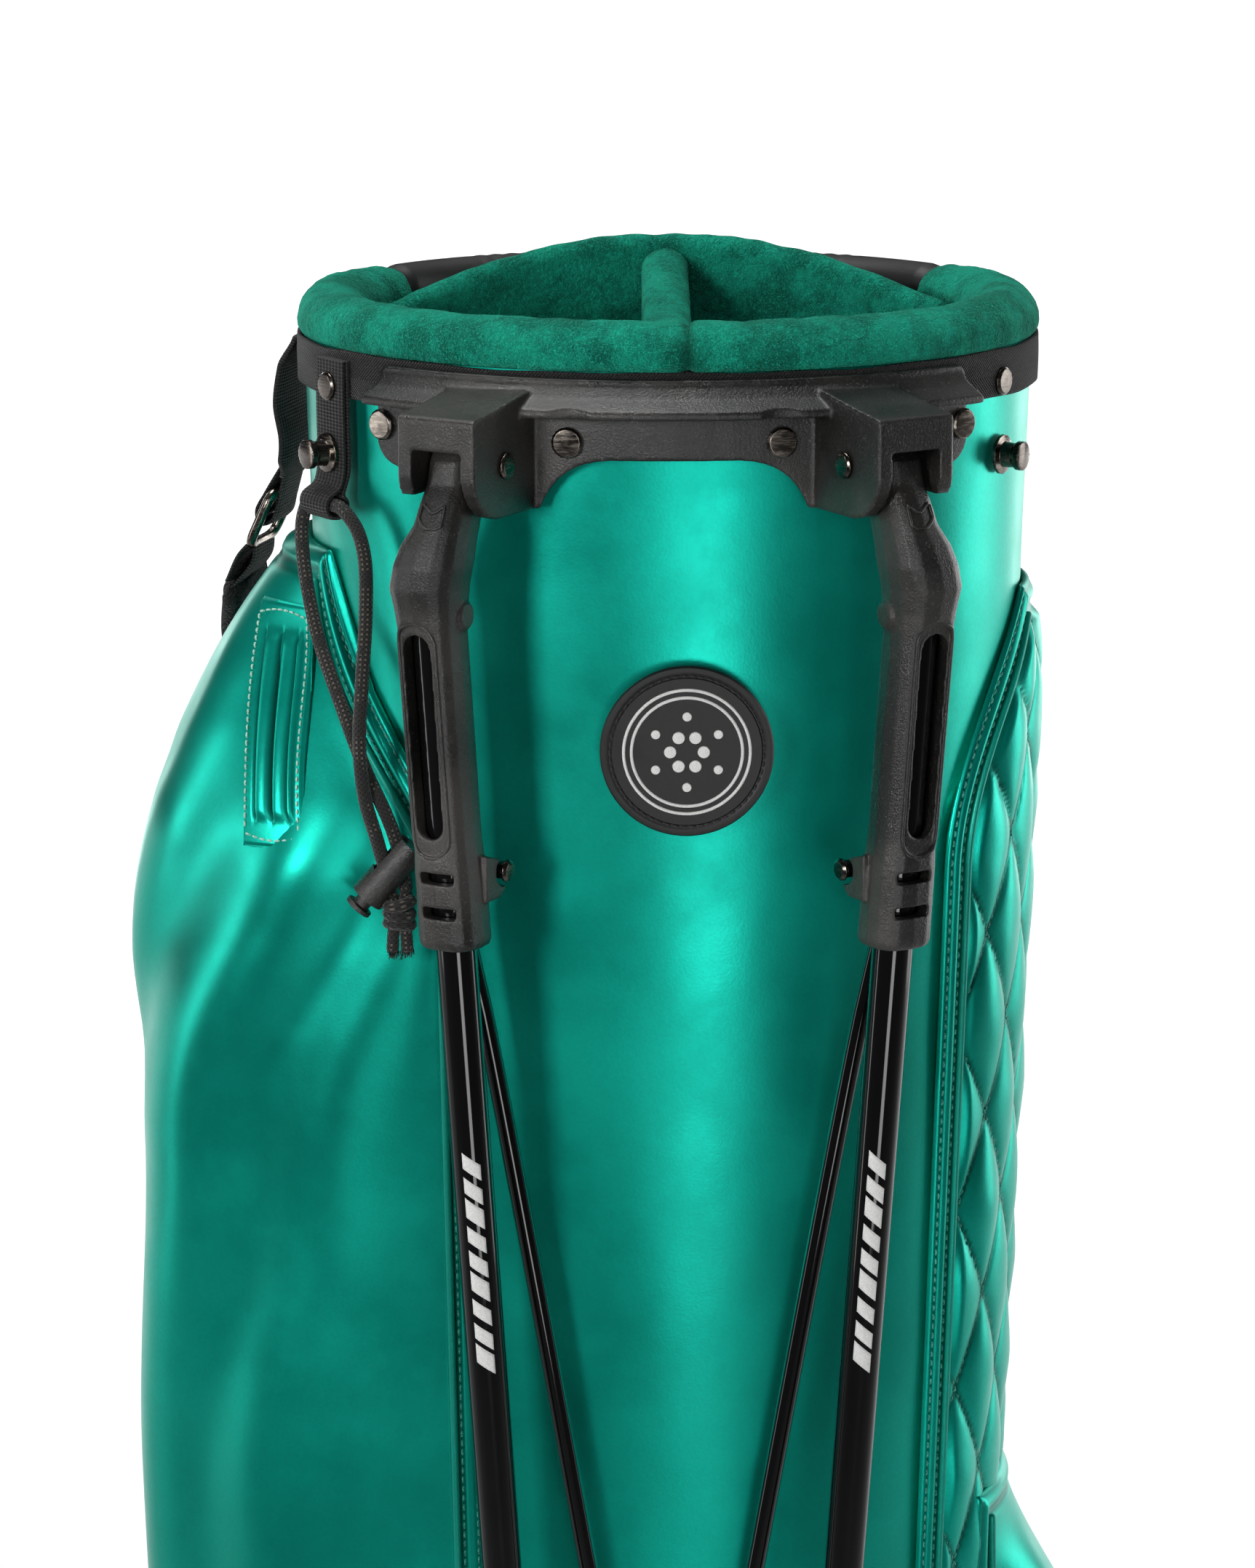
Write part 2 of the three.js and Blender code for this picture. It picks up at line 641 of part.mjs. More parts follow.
function baseActuator() {
  const plate = toSolid(ovalColumn([{ z: 0, a: 101, b: 97 }, { z: 5, a: 101, b: 97 }]));
  const front = plate.intersect(toSolid(boxAt(0, HINGE.y - 60, 5, 240, 120, 20)));
  const barrel = hingeBar(56, 5);
  const block = boxAt(0, -95, 9, 52, 26, 18);
  const lugSpace = (side) => boxAt(side * 63, HINGE.y, 8, 10, 16, 20);
  const pocket = (side) => boxAt(side * ROD_BOTTOM.x, -96, 12, 11, 19, 14);
  const pinHole = hingeBar(80, PIN_RADIUS + GAP);
  const whole = front.add(toSolid(barrel)).add(toSolid(block));
  return toGeometry(cut(whole, pinHole, lugSpace(-1), lugSpace(1), pocket(-1), pocket(1)));
}

// ---- Pockets and pads on the body ----
const PAD_REST = 0.9; // how far a pad's back stays off the shell
const smooth = (share) => share * share * (3 - 2 * share);
const ramp = (value, from, to) => smooth(THREE.MathUtils.clamp((value - from) / (to - from), 0, 1));

const archAcross = (u, edge) => ramp(u, 0, edge) * ramp(1 - u, 0, edge);

// Each pad follows the body. edges(z) gives its first and last angle, swell(u, z) how far its
// outer face stands off its back, with u from 0 to 1 across it, and rest how far the back stands
// off the shell.
const PADS = {
  // The garment pocket's front edge runs down and towards the legs, then straight.
  garment: {
    heights: [140, 175, 215, 260, 330, 420, 520, 600, 640, 680, 715, 750, 780, 800],
    columns: 12,
    rest: PAD_REST,
    edges: (z) => [152, 236 - 34 * ramp(z, 690, 810)],
    swell: (u, z) => {
      const closing = THREE.MathUtils.clamp((z - 640) / 160, 0, 1);
      const frontEase = 0.62 - 0.2 * ramp(z, 680, 770);
      const across = ramp(u, 0, 0.42) * ramp(1 - u, 0, frontEase);
      return 2.4 + 66 * across * ramp(z, 140, 260) * (1 - 0.97 * closing ** 2);
    },
  },
  quilted: {
    heights: [150, 200, 300, 400, 500, 600, 680, 720, 750, 770, 785],
    columns: 10,
    rest: PAD_REST,
    edges: (z) => [-40 + 27 * (Math.max(0, z - 700) / 85) ** 2, 42],
    swell: (u, z) => 2 + 4.2 * archAcross(u, 0.2) * ramp(z, 150, 220) * (1 - ramp(z, 750, 790)),
  },
  ball: {
    heights: [215, 235, 270, 320, 370, 410, 440, 462, 478],
    columns: 10,
    rest: 7.8,
    edges: () => [-25, 36],
    swell: (u, z) => 2 + 34 * archAcross(u, 0.35) * ramp(z, 205, 275) * (1 - ramp(z, 395, 480)),
  },
  hip: {
    heights: [330, 350, 400, 480, 560, 610, 630],
    columns: 9,
    rest: PAD_REST,
    edges: () => [71, 109],
    swell: (u, z) => 3 + 13 * archAcross(u, 0.25) * ramp(z, 330, 380) * (1 - ramp(z, 585, 632)),
  },
};

// A point on a pad's outer face, or off it by an offset away from the body.
function padPoint(pad, angle, z, offset = 0) {
  const [start, end] = pad.edges(z);
  return bodyPoint(angle, z, pad.rest + pad.swell((angle - start) / (end - start), z) + offset);
}

function bodyPad(pad) {
  const sections = pad.heights.map((z) => {
    const angles = between(...pad.edges(z), pad.columns);
    const back = angles.map((angle) => bodyPoint(angle, z, pad.rest));
    const face = angles.toReversed().map((angle) => padPoint(pad, angle, z));
    return [...back, ...face];
  });
  return loft(sections);
}

// The stitched patch with two welts near the top of the garment pocket. It stands upright, so
// its angle round the body grows towards its foot, where the pocket bulges.
const SLOT = { low: 709, high: 782 };
const slotEdges = (share) => [
  205.9 - 3.7 * share - 12.2 * share ** 2,
  213.5 - 7.8 * share - 4.4 * share ** 2,
];

function slotPatch() {
  const pad = PADS.garment;
  const sections = between(0, 1, 6).map((share) => {
    const z = SLOT.low + (SLOT.high - SLOT.low) * share;
    const angles = between(...slotEdges(share), 4);
    const back = angles.map((angle) => padPoint(pad, angle, z, 1.6));
    const face = angles.toReversed().map((angle) => padPoint(pad, angle, z, 3.2));
    return [...back, ...face];
  });
  return loft(sections);
}

function roundPatch() {
  const middle = bodyPoint(-88, 748.5, 0.6);
  const profile = [[0, 0], [27, 0], [27, 1.6], [26, 2.4], [0, 2.4]];
  return turned(profile, middle.add(vector(0, -3, 0)), vector(0, -1, 0), 32);
}

// ---- Zips ----
// A straight zip on a pocket's face: its angle and its lower and upper height.
const ZIPS = {
  garment: { pad: PADS.garment, angle: 169, low: 440, high: 590 },
  valuables: { pad: PADS.quilted, angle: 20, low: 520, high: 720 },
  ball: { pad: PADS.ball, angle: 6, low: 290, high: 385 },
};
const ZIP_LIFT = 1.3; // how far a zip's tape stands off its pocket

function zipFrame({ pad, angle, low, high }) {
  const sideways = padPoint(pad, angle + 1, low).sub(padPoint(pad, angle - 1, low));
  const foot = padPoint(pad, angle, low);
  const head = padPoint(pad, angle, high);
  const along = head.clone().sub(foot).normalize();
  const outward = sideways.cross(along).normalize();
  foot.addScaledVector(outward, ZIP_LIFT);
  head.addScaledVector(outward, ZIP_LIFT);
  const across = along.clone().cross(outward).normalize();
  return { foot, head, along, outward, across };
}

function zipBox({ along, outward, across }, centre, width, height, thick) {
  const corners = [[-1, -1], [1, -1], [1, 1], [-1, 1]];
  const place = (u, v, w) => centre.clone()
    .addScaledVector(across, (u * width) / 2)
    .addScaledVector(outward, w)
    .addScaledVector(along, (v * height) / 2);
  return loft([0, thick].map((w) => corners.map(([u, v]) => place(u, v, w))));
}

function addZip(name) {
  const frame = zipFrame(ZIPS[name]);
  const middle = frame.foot.clone().add(frame.head).multiplyScalar(0.5);
  const length = frame.foot.distanceTo(frame.head);
  const sliderAt = frame.head.clone().addScaledVector(frame.along, -8).addScaledVector(frame.outward, 1.8);
  const pullAt = sliderAt.clone().addScaledVector(frame.outward, 4.8).addScaledVector(frame.along, -15);
  add(`${name}_zip`, zipBox(frame, middle, 13, length, 1.4), 'webbing');
  add(`${name}_zip_slider`, zipBox(frame, sliderAt, 8, 11, 4.4), 'metal');
  add(`${name}_zip_pull`, zipBox(frame, pullAt, 5, 32, 1.4), 'webbing');
}

// ---- Strap hardware on the band ----
function capRivet(angle, z, lift) {
  const normal = ovalNormal(BODY_TOP, angle);
  return turned([[0, 0], [4.6, 0], [4.6, 0.8], [3.8, 1.6], [0, 1.8]], bodyPoint(angle, z, lift), normal, 18);
}

function snapStud(angle, z, lift) {
  const flange = [[0, 0], [6.4, 0], [6.4, 1], [4.2, 1.6]];
  const knob = [[3.9, 5], [4.7, 6.2], [4.7, 8], [3.6, 8.4], [0, 8.4]];
  return turned([...flange, ...knob], bodyPoint(angle, z, lift), ovalNormal(BODY_TOP, angle), 14);
}

const LOOP = { angle: -151, halfWidth: 8, eyeZ: 818, eyeOut: 7.4 };

// The webbing loop's side view: a folded strap with a round eye at its lower end.
function webbingLoop() {
  const shape = new THREE.Shape();
  const eye = between(120, 420, 15).map((degrees) => {
    const t = radians(degrees);
    return [LOOP.eyeOut + 4.8 * Math.cos(t), LOOP.eyeZ + 4.8 * Math.sin(t)];
  });
  const outline = [[2.2, 864], [2.2, 826], ...eye, [5.4, 828], [5.4, 864]];
  outline.forEach(([x, y], i) => (i ? shape.lineTo(x, y) : shape.moveTo(x, y)));
  const hole = new THREE.Path().absarc(LOOP.eyeOut, LOOP.eyeZ, 3.1, 0, Math.PI * 2);
  shape.holes.push(hole);
  const options = { depth: 2 * LOOP.halfWidth, curveSegments: 7, bevelEnabled: false };
  const strap = new THREE.ExtrudeGeometry(shape, options).translate(0, 0, -LOOP.halfWidth);
  const outward = ovalNormal(BODY_TOP, LOOP.angle);
  const across = outward.clone().cross(UP);
  const base = bodyPoint(LOOP.angle, BODY_TOP.z).setZ(0);
  const place = new THREE.Matrix4().makeBasis(outward, UP, across).setPosition(base);
  return strap.applyMatrix4(place);
}

// ---- Cord, its lock and its knot ----
const CORD_RADIUS = 2.2;
const LOOP_EYE = bodyPoint(LOOP.angle, BODY_TOP.z, LOOP.eyeOut).setZ(LOOP.eyeZ);
const LOOP_ACROSS = ovalNormal(BODY_TOP, LOOP.angle).cross(UP);
const inEye = (distance) => LOOP_EYE.clone().addScaledVector(LOOP_ACROSS, distance);

// The back strand leaves the left mouth of the eye, and the front strand the right mouth.
const BACK_STRAND = [
  inEye(0.3),
  inEye(4.5),
  inEye(8.6),
  vector(-115.6, -42.4, 815.6),
  vector(-117, -42.6, 810),
  vector(-116.4, -47, 798),
  vector(-112, -57, 777),
  vector(-104.4, -68.6, 757),
  vector(-96.6, -78.2, 738),
  vector(-89.6, -84.4, 724),
  vector(-86.4, -84.7, 714.5),
  vector(-83.9, -84.6, 700.6),
];
const FRONT_STRAND = [
  inEye(-0.3),
  inEye(-4.5),
  inEye(-8.6),
  vector(-102, -62.2, 816.4),
  vector(-98.4, -65.4, 811.4),
  vector(-96.2, -68, 803),
  vector(-96, -71.6, 785),
  vector(-97.2, -77.4, 765),
  vector(-98, -82.7, 747),
  vector(-96.4, -85, 730),
  vector(-92.6, -85.2, 716),
  vector(-88.7, -84.9, 700.6),
];

// The lock's barrel lies across both strands, which pass through a window in it.
const LOCK_LOW = vector(-96.2, -84.8, 697.8);
const LOCK_HIGH = vector(-81.4, -84.8, 714.4);
const LOCK_RADIUS = 5.6;
const LOCK_WINDOW = { x: -87.5, y: -84.8, z: 707.7, halfWidth: 6.2, halfDepth: 3, drift: 0.22 };
const KNOT = { x: -85.9, y: -86.4, z: 692.6, radius: 5.3 };

function cordStrand(points) {
  return tubeAlong(points, CORD_RADIUS, 34, 8);
}

function lockBarrel() {
  const axis = LOCK_HIGH.clone().sub(LOCK_LOW).normalize();
  const bar = roundBar(LOCK_LOW, LOCK_HIGH, LOCK_RADIUS, 20);
  const mouth = LOCK_LOW.clone().addScaledVector(axis, -1);
  const bore = roundBar(mouth, LOCK_HIGH.clone().addScaledVector(axis, -3), 3.9, 16);
  const { x, y, z, halfWidth, halfDepth, drift } = LOCK_WINDOW;
  const corners = [[-1, -1], [1, -1], [1, 1], [-1, 1]];
  const corner = (u, v, up) => vector(x - drift * up + u * halfWidth, y + v * halfDepth, z + up);
  const loopAt = (up) => corners.map(([u, v]) => corner(u, v, up));
  return toGeometry(cut(toSolid(bar), bore, loft([loopAt(-12), loopAt(12)])));
}

function lockPlunger() {
  const axis = LOCK_HIGH.clone().sub(LOCK_LOW).normalize();
  const base = LOCK_LOW.clone().addScaledVector(axis, -4.6);
  return turned([[0, 0], [4.6, 0], [4.6, 1.6], [2.8, 1.6], [2.8, 4.8], [0, 4.8]], base, axis, 16);
}

function cordKnot() {
  const { x, y, z, radius } = KNOT;
  const ball = new THREE.SphereGeometry(radius, 14, 10).scale(1, 1, 1.15).translate(x, y, z);
  const middle = vector(x, y, z);
  const ends = [vector(-83.9, -84.7, 699.6), vector(-88.7, -85, 699.6)];
  const tails = [vector(x - 2.2, y, 680), vector(x + 2.2, y, 680)];
  const strands = [...ends, ...tails].map((end) => roundBar(middle, end, CORD_RADIUS, 8));
  return toGeometry(joined(ball, ...strands));
}

// ---- Carrying straps ----
// Each strap hangs from the cuff at its own angle and comes back to the hip. The left one starts
// at the bag's side and the right one beside the rear handle.
const STRAPS = {
  left: { side: -1, angle: 166, shoulder: [[166, 780, 30.5], [160, 760, 35], [146, 735, 38], [129, 700, 42]] },
  right: { side: 1, angle: 50, shoulder: [[50, 780, 30.5], [50, 760, 35], [52, 735, 38], [57, 700, 42]] },
};

// The direction along the body's oval, anticlockwise from above.
const tangentAt = (angle) => UP.clone().cross(ovalNormal(BODY_TOP, angle));

// A flat strap along a row of points, whose width turns from one direction to another.
function flatStrap(points, width, thick, steps, firstAcross, lastAcross) {
  const path = new THREE.CatmullRomCurve3(points, false, 'centripetal');
  const corners = [[-1, -0.5], [-0.9, -1], [0.9, -1], [1, -0.5], [1, 0.5], [0.9, 1], [-0.9, 1], [-1, 0.5]];
  const sections = between(0, 1, steps).map((share) => {
    const centre = path.getPointAt(share);
    const along = path.getTangentAt(share);
    const wide = firstAcross.clone().lerp(lastAcross, Math.min(1, 2 * share));
    const outward = wide.cross(along).normalize();
    const across = along.clone().cross(outward).normalize();
    const taper = 0.55 + 0.45 * archAcross(share, 0.18);
    return corners.map(([u, v]) => centre.clone()
      .addScaledVector(across, (u * width * taper) / 2)
      .addScaledVector(outward, (v * thick * taper) / 2));
  });
  return loft(sections);
}

function shoulderStrap({ side, angle, shoulder }) {
  const points = [
    ...shoulder.map(([turn, z, out]) => bodyPoint(turn, z, out)),
    vector(side * 80, 136, 620),
    vector(side * 72, 132, 530),
    vector(side * 66, 112, 450),
    vector(side * 62, 90, 396),
  ];
  return flatStrap(points, 52, 13, 20, tangentAt(angle), vector(-1, 0.35 * side, 0));
}

function strapWebbing({ angle }) {
  const stations = [[861, 4.4], [852, 7], [840, 9], [828, 7.6], [820, 8.6], [814, 11.4]];
  const points = stations.map(([z, out]) => bodyPoint(angle, z, out));
  return flatStrap(points, 40, 4, 10, tangentAt(angle), tangentAt(angle));
}

function strapBuckle({ angle }) {
  const top = bodyPoint(angle, 812, 13);
  const bottom = bodyPoint(angle, 788, 25);
  const centre = top.clone().add(bottom).multiplyScalar(0.5);
  const along = bottom.clone().sub(top).normalize();
  const across = tangentAt(angle);
  const outward = along.clone().cross(across).normalize();
  const corners = [[-1, -1], [1, -1], [1, 1], [-1, 1]];
  const place = (u, v, w) => centre.clone()
    .addScaledVector(across, u)
    .addScaledVector(along, v)
    .addScaledVector(outward, w);
  const block = (halfWidth, halfHeight, halfThick) => {
    const loopAt = (w) => corners.map(([u, v]) => place(u * halfWidth, v * halfHeight, w));
    return loft([loopAt(-halfThick), loopAt(halfThick)]);
  };
  return toGeometry(cut(toSolid(block(14, 12, 1.4)), block(10, 7, 3)));
}

// ---- Assembly ----
add('body_shell', bodyShell(), 'leather');
add('cuff_ring', cuffRing(), 'moulding');
add('cuff_plush_rim', plushRim(), 'plush');
add('rear_handle_grip', cuffSleeve(9, 880, 868, 858, GRIP_START, GRIP_END, 20), 'rubber');
add('back_wall', backWall(), 'plush');
add('centre_divider', centreDivider(), 'plush');
add('twill_band', twillBand(), 'webbing');
add('stay_rod_left', stayRod(180), 'gloss');
add('stay_rod_right', stayRod(0), 'gloss');

add('top_bracket', topBracket(), 'moulding');
addPair('bracket_rivet', rivet(INNER_RIVET), 'metal');
addPair('tab_rivet', rivet(TAB_RIVET), 'metal');
addPair('pivot_pin', pivotPin(), 'metal');
addPair('leg_socket', legSocket(), 'moulding');
addPair('leg_tube', legTube(), 'gloss');
addPair('leg_foot', legFoot(), 'rubber');
addPair('actuator_rod', actuatorRod(), 'gloss');
addPair('rod_retainer', rodRetainer(), 'metal');

add('base_boot', baseBoot(), 'moulding');
add('base_actuator', baseActuator(), 'moulding');
add('actuator_hinge_pin', hingeBar(66, PIN_RADIUS, 12), 'metal');

add('garment_pocket', bodyPad(PADS.garment), 'leather');
add('quilted_pocket', bodyPad(PADS.quilted), 'leather');
add('ball_pocket', bodyPad(PADS.ball), 'leather');
add('hip_pad', bodyPad(PADS.hip), 'leather');
add('slot_patch', slotPatch(), 'leather');
add('round_patch', roundPatch(), 'rubber');
Object.keys(ZIPS).forEach(addZip);

add('webbing_loop', webbingLoop(), 'webbing');
add('cap_rivet_left', capRivet(LOOP.angle, 855, 5.7), 'metal');
add('snap_stud_left', snapStud(LOOP.angle, 834, 6.9), 'metal');
add('cap_rivet_right', capRivet(-29.6, 856, BAND.outer + GAP), 'metal');
add('snap_stud_right', snapStud(-27.4, 832, 0.9), 'metal');
add('cord_strand_back', cordStrand(BACK_STRAND), 'cord');
add('cord_strand_front', cordStrand(FRONT_STRAND), 'cord');
add('cord_lock_barrel', lockBarrel(), 'moulding');
add('cord_lock_plunger', lockPlunger(), 'moulding');
add('cord_knot', cordKnot(), 'cord');

Object.entries(STRAPS).forEach(([hand, strap]) => {
  add(`shoulder_strap_${hand}`, shoulderStrap(strap), 'webbing');
  add(`strap_webbing_${hand}`, strapWebbing(strap), 'webbing');
  add(`strap_buckle_${hand}`, strapBuckle(strap), 'metal');
});

export default group;
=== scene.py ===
# Golf stand bag, dressed for a studio view: leather body and pockets, plush cuff, moulded
# bracket with two fold-out legs, cord, straps and zips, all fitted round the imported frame.
# Shapes are worked out in millimetres, +Z up, and turned into metres as they become meshes.
import math
import random

import bpy
from mathutils import Euler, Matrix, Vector, noise


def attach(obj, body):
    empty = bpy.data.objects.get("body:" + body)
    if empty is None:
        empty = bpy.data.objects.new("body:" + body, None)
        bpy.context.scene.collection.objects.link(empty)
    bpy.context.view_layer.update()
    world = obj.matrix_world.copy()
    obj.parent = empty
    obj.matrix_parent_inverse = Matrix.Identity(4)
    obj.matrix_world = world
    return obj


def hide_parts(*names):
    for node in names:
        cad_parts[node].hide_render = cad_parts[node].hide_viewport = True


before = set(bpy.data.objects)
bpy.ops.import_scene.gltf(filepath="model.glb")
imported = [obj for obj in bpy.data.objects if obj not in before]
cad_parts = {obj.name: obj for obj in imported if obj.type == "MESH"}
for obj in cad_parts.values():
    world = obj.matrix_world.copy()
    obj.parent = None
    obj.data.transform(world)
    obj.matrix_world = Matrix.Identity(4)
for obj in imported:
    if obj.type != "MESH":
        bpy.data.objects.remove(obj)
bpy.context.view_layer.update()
MM = 0.001

# ---- Driving dimensions, shared with the frame ----
BODY_STATIONS = [(56, 102, 88), (400, 104, 90), (866, 118, 98)]  # height and half axes
BODY_FOOT = 56
BODY_WALL = 2.4
MEAN_RADIUS = 106  # of the body's oval, to turn degrees round it into millimetres
CLOTH_DEGREE = 1.85  # millimetres of cloth to a degree, where folds are laid out flat
CUFF = (109, 91)  # half axes of the cuff's middle line
CORE_TOP = 876.3  # just above the hard ring inside the cuff
GRIP_ANGLES = (33, 147)
WALL_FOOT = 803  # of the padded walls in the bag's mouth
BAND = {"low": 851, "high": 866, "inner": 0.6, "outer": 1.9}
PAD_REST = 0.9  # between a pad's back and the body
ZIP_LIFT = 1.3
ZIPS = {  # the pad, the angle round the body, and the heights of both ends
    "garment": ("garment", 169, 440, 590),
    "valuables": ("quilted", 20, 520, 720),
    "ball": ("ball", 6, 290, 385),
}
STITCH_PITCH = 3.2
LOOP_ANGLE = -151
EYE_OUT = 7.4  # the webbing loop's eye, out from the body
EYE_HEIGHT = 818
CORD_RADIUS = 2.2
KNOT = Vector((-85.9, -86.4, 692.6))

SIDES = {"left": -1, "right": 1}
UP = Vector((0, 0, 1))


# ---- Numbers ----
def clamp(value, low=0.0, high=1.0):
    return max(low, min(high, value))


def ramp(value, start, end):
    share = clamp((value - start) / (end - start))
    return share * share * (3 - 2 * share)


def arch(share, edge):
    return ramp(share, 0, edge) * ramp(1 - share, 0, edge)


def bump(value, centre, width):
    """A smooth hill of height 1 round a centre."""
    return math.exp(-(((value - centre) / width) ** 2))


def spread(start, end, count):
    return [start + (end - start) * i / (count - 1) for i in range(count)]


def turns(count, start=0.0):
    """Angles in radians, evenly round a circle."""
    return [2 * math.pi * (k + start) / count for k in range(count)]


def squared(t, u_power, v_power):
    """A point of the unit circle, pushed out towards a square by powers below 1."""
    u, v = math.cos(t), math.sin(t)
    return math.copysign(abs(u) ** u_power, u), math.copysign(abs(v) ** v_power, v)


def ripple(point, size, seed=0.0):
    """Smooth noise from -1 to 1 whose features are about that many millimetres across."""
    return noise.noise(point / size + Vector((seed, 1.7 * seed, -seed)))


# ---- Ovals round the body ----
def halves(z):
    low, high = BODY_STATIONS[0:2] if z < BODY_STATIONS[1][0] else BODY_STATIONS[1:3]
    share = (z - low[0]) / (high[0] - low[0])
    return (low[1] + (high[1] - low[1]) * share, low[2] + (high[2] - low[2]) * share)


def oval_normal(pair, degrees):
    t = math.radians(degrees)
    return Vector((math.cos(t) / pair[0], math.sin(t) / pair[1], 0)).normalized()


def oval_point(pair, degrees, z, offset=0.0):
    t = math.radians(degrees)
    point = Vector((pair[0] * math.cos(t), pair[1] * math.sin(t), z))
    return point + oval_normal(pair, degrees) * offset


def body_point(degrees, z, offset=0.0):
    return oval_point(halves(z), degrees, z, offset)


def body_normal(degrees):
    return oval_normal(halves(BAND["high"]), degrees)


# ---- Meshes ----
class Shape:
    """Points and faces gathered before they become one mesh. Each point can carry a painted shade, which
    darkens its colour in grooves, seams and slits.
    """

    def __init__(self):
        self.points = []
        self.painted_shades = []
        self.faces = []
        self.uvs = []

    def add(self, point, painted_shade=0.0):
        self.points.append(point)
        self.painted_shades.append(painted_shade)
        return len(self.points) - 1

    def face(self, corners, uvs=None):
        self.faces.append(corners)
        self.uvs.append(uvs or [(0.0, 0.0)] * len(corners))

    def grid(self, rows, wrap=False, loop=False, painted_shades=None):
        """Joins rows of points into quads. wrap closes each row, and loop joins last to first."""
        height, width = len(rows), len(rows[0])
        painted_shades = painted_shades or [[0.0] * width] * height
        ids = [[self.add(p, t) for p, t in zip(row, shade_row)] for row, shade_row in zip(rows, painted_shades)]
        middle_row, middle_column = rows[height // 2], [row[width // 2] for row in rows]
        across = distances(middle_row, wrap)
        along = distances(middle_column, loop)
        for i in range(height if loop else height - 1):
            for j in range(width if wrap else width - 1):
                a, b = (i + 1) % height, (j + 1) % width
                corners = [ids[i][j], ids[i][b], ids[a][b], ids[a][j]]
                uvs = [
                    (across[j], along[i]),
                    (across[j + 1], along[i]),
                    (across[j + 1], along[i + 1]),
                    (across[j], along[i + 1]),
                ]
                self.face(corners, uvs)
        return ids

    def skin(self, rings, painted_shades=None):
        """Joins closed rings into a skin, and closes both its ends."""
        ids = self.grid(rings, wrap=True, painted_shades=painted_shades)
        self.face(ids[0][::-1])
        self.face(ids[-1])


def distances(points, closed=False):
    total, found = 0.0, [0.0]
    following = points[1:] + ([points[0]] if closed else [])
    for here, there in zip(points, following):
        total += (there - here).length
        found.append(total)
    return found


def finish_piece(shape, name, material, replaced=None, body="bag", crease=180):
    """Makes the mesh and its object, puts it on its body and lets it stand for a frame part."""
    mesh = bpy.data.meshes.new(name)
    mesh.from_pydata([p * MM for p in shape.points], [], shape.faces)
    layer = mesh.uv_layers.new(name="along_and_across")
    flat = [number for corners in shape.uvs for uv in corners for number in uv]
    layer.data.foreach_set("uv", flat)
    # The per-point value is painted shade: the materials darken the colour with it.
    painted_shade = mesh.attributes.new("painted_shade", "FLOAT", "POINT")
    painted_shade.data.foreach_set("value", shape.painted_shades)
    mesh.validate()
    mesh.shade_smooth()
    mesh.set_sharp_from_angle(angle=math.radians(crease))
    mesh.materials.append(material)
    piece = bpy.data.objects.new(name, mesh)
    bpy.context.scene.collection.objects.link(piece)
    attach(piece, body)
    if replaced:
        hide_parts(replaced)
    return piece


def closed_sheet(shape, front, back_at, back_size, painted_shades=None):
    """A front grid closed by a coarser back one. back_at(v, u) gives the back's points."""
    height, width = len(front), len(front[0])
    ids = shape.grid(front, painted_shades=painted_shades)
    rows = [round(i * (height - 1) / (back_size[0] - 1)) for i in range(back_size[0])]
    columns = [round(j * (width - 1) / (back_size[1] - 1)) for j in range(back_size[1])]
    back = [[shape.add(back_at(i / (height - 1), j / (width - 1))) for j in columns] for i in rows]
    for i in range(len(rows) - 1):
        for j in range(len(columns) - 1):
            shape.face([back[i][j], back[i + 1][j], back[i + 1][j + 1], back[i][j + 1]])
    for j in range(len(columns) - 1):
        span = range(columns[j], columns[j + 1] + 1)
        shape.face([back[0][j], back[0][j + 1]] + [ids[0][k] for k in reversed(span)])
        shape.face([back[-1][j + 1], back[-1][j]] + [ids[-1][k] for k in span])
    for i in range(len(rows) - 1):
        span = range(rows[i], rows[i + 1] + 1)
        shape.face([back[i + 1][0], back[i][0]] + [ids[k][0] for k in span])
        shape.face([back[i][-1], back[i + 1][-1]] + [ids[k][-1] for k in reversed(span)])


def curve_through(points, count):
    """Points spaced evenly along a smooth curve through the given ones."""
    knots = [2 * points[0] - points[1]] + list(points) + [2 * points[-1] - points[-2]]
    dense = []
    for a, b, c, d in zip(knots, knots[1:], knots[2:], knots[3:]):
        t0 = 0.0
        t1 = t0 + max(1e-6, (b - a).length) ** 0.5
        t2 = t1 + max(1e-6, (c - b).length) ** 0.5
        t3 = t2 + max(1e-6, (d - c).length) ** 0.5
        for k in range(24):
            t = t1 + (t2 - t1) * k / 24
            ab = a.lerp(b, (t - t0) / (t1 - t0))
            bc = b.lerp(c, (t - t1) / (t2 - t1))
            cd = c.lerp(d, (t - t2) / (t3 - t2))
            abc = ab.lerp(bc, (t - t0) / (t2 - t0))
            bcd = bc.lerp(cd, (t - t1) / (t3 - t1))
            dense.append(abc.lerp(bcd, (t - t1) / (t2 - t1)))
    dense.append(points[-1].copy())
    lengths = distances(dense)
    found, k = [], 0
    for i in range(count):
        goal = lengths[-1] * i / (count - 1)
        while k < len(dense) - 2 and lengths[k + 1] < goal:
            k += 1
        share = (goal - lengths[k]) / max(1e-9, lengths[k + 1] - lengths[k])
        found.append(dense[k].lerp(dense[k + 1], clamp(share)))
    return found


def directions(path):
    """The direction of travel at each point of an open path."""
    last = len(path) - 1
    return [(path[min(i + 1, last)] - path[max(i - 1, 0)]).normalized() for i in range(len(path))]


def faces_along(path, across):
    """Which way a strap faces at each point of its path, where its width lies along across."""
    return [along.cross(across).normalized() for along in directions(path)]


def frames_along(path):
    """For each point: itself, the direction along the path, and two directions square to it."""
    found, across = [], directions(path)[0].orthogonal()
    for point, along in zip(path, directions(path)):
        across = (across - along * across.dot(along)).normalized()
        found.append((point, along, across, along.cross(across)))
    return found


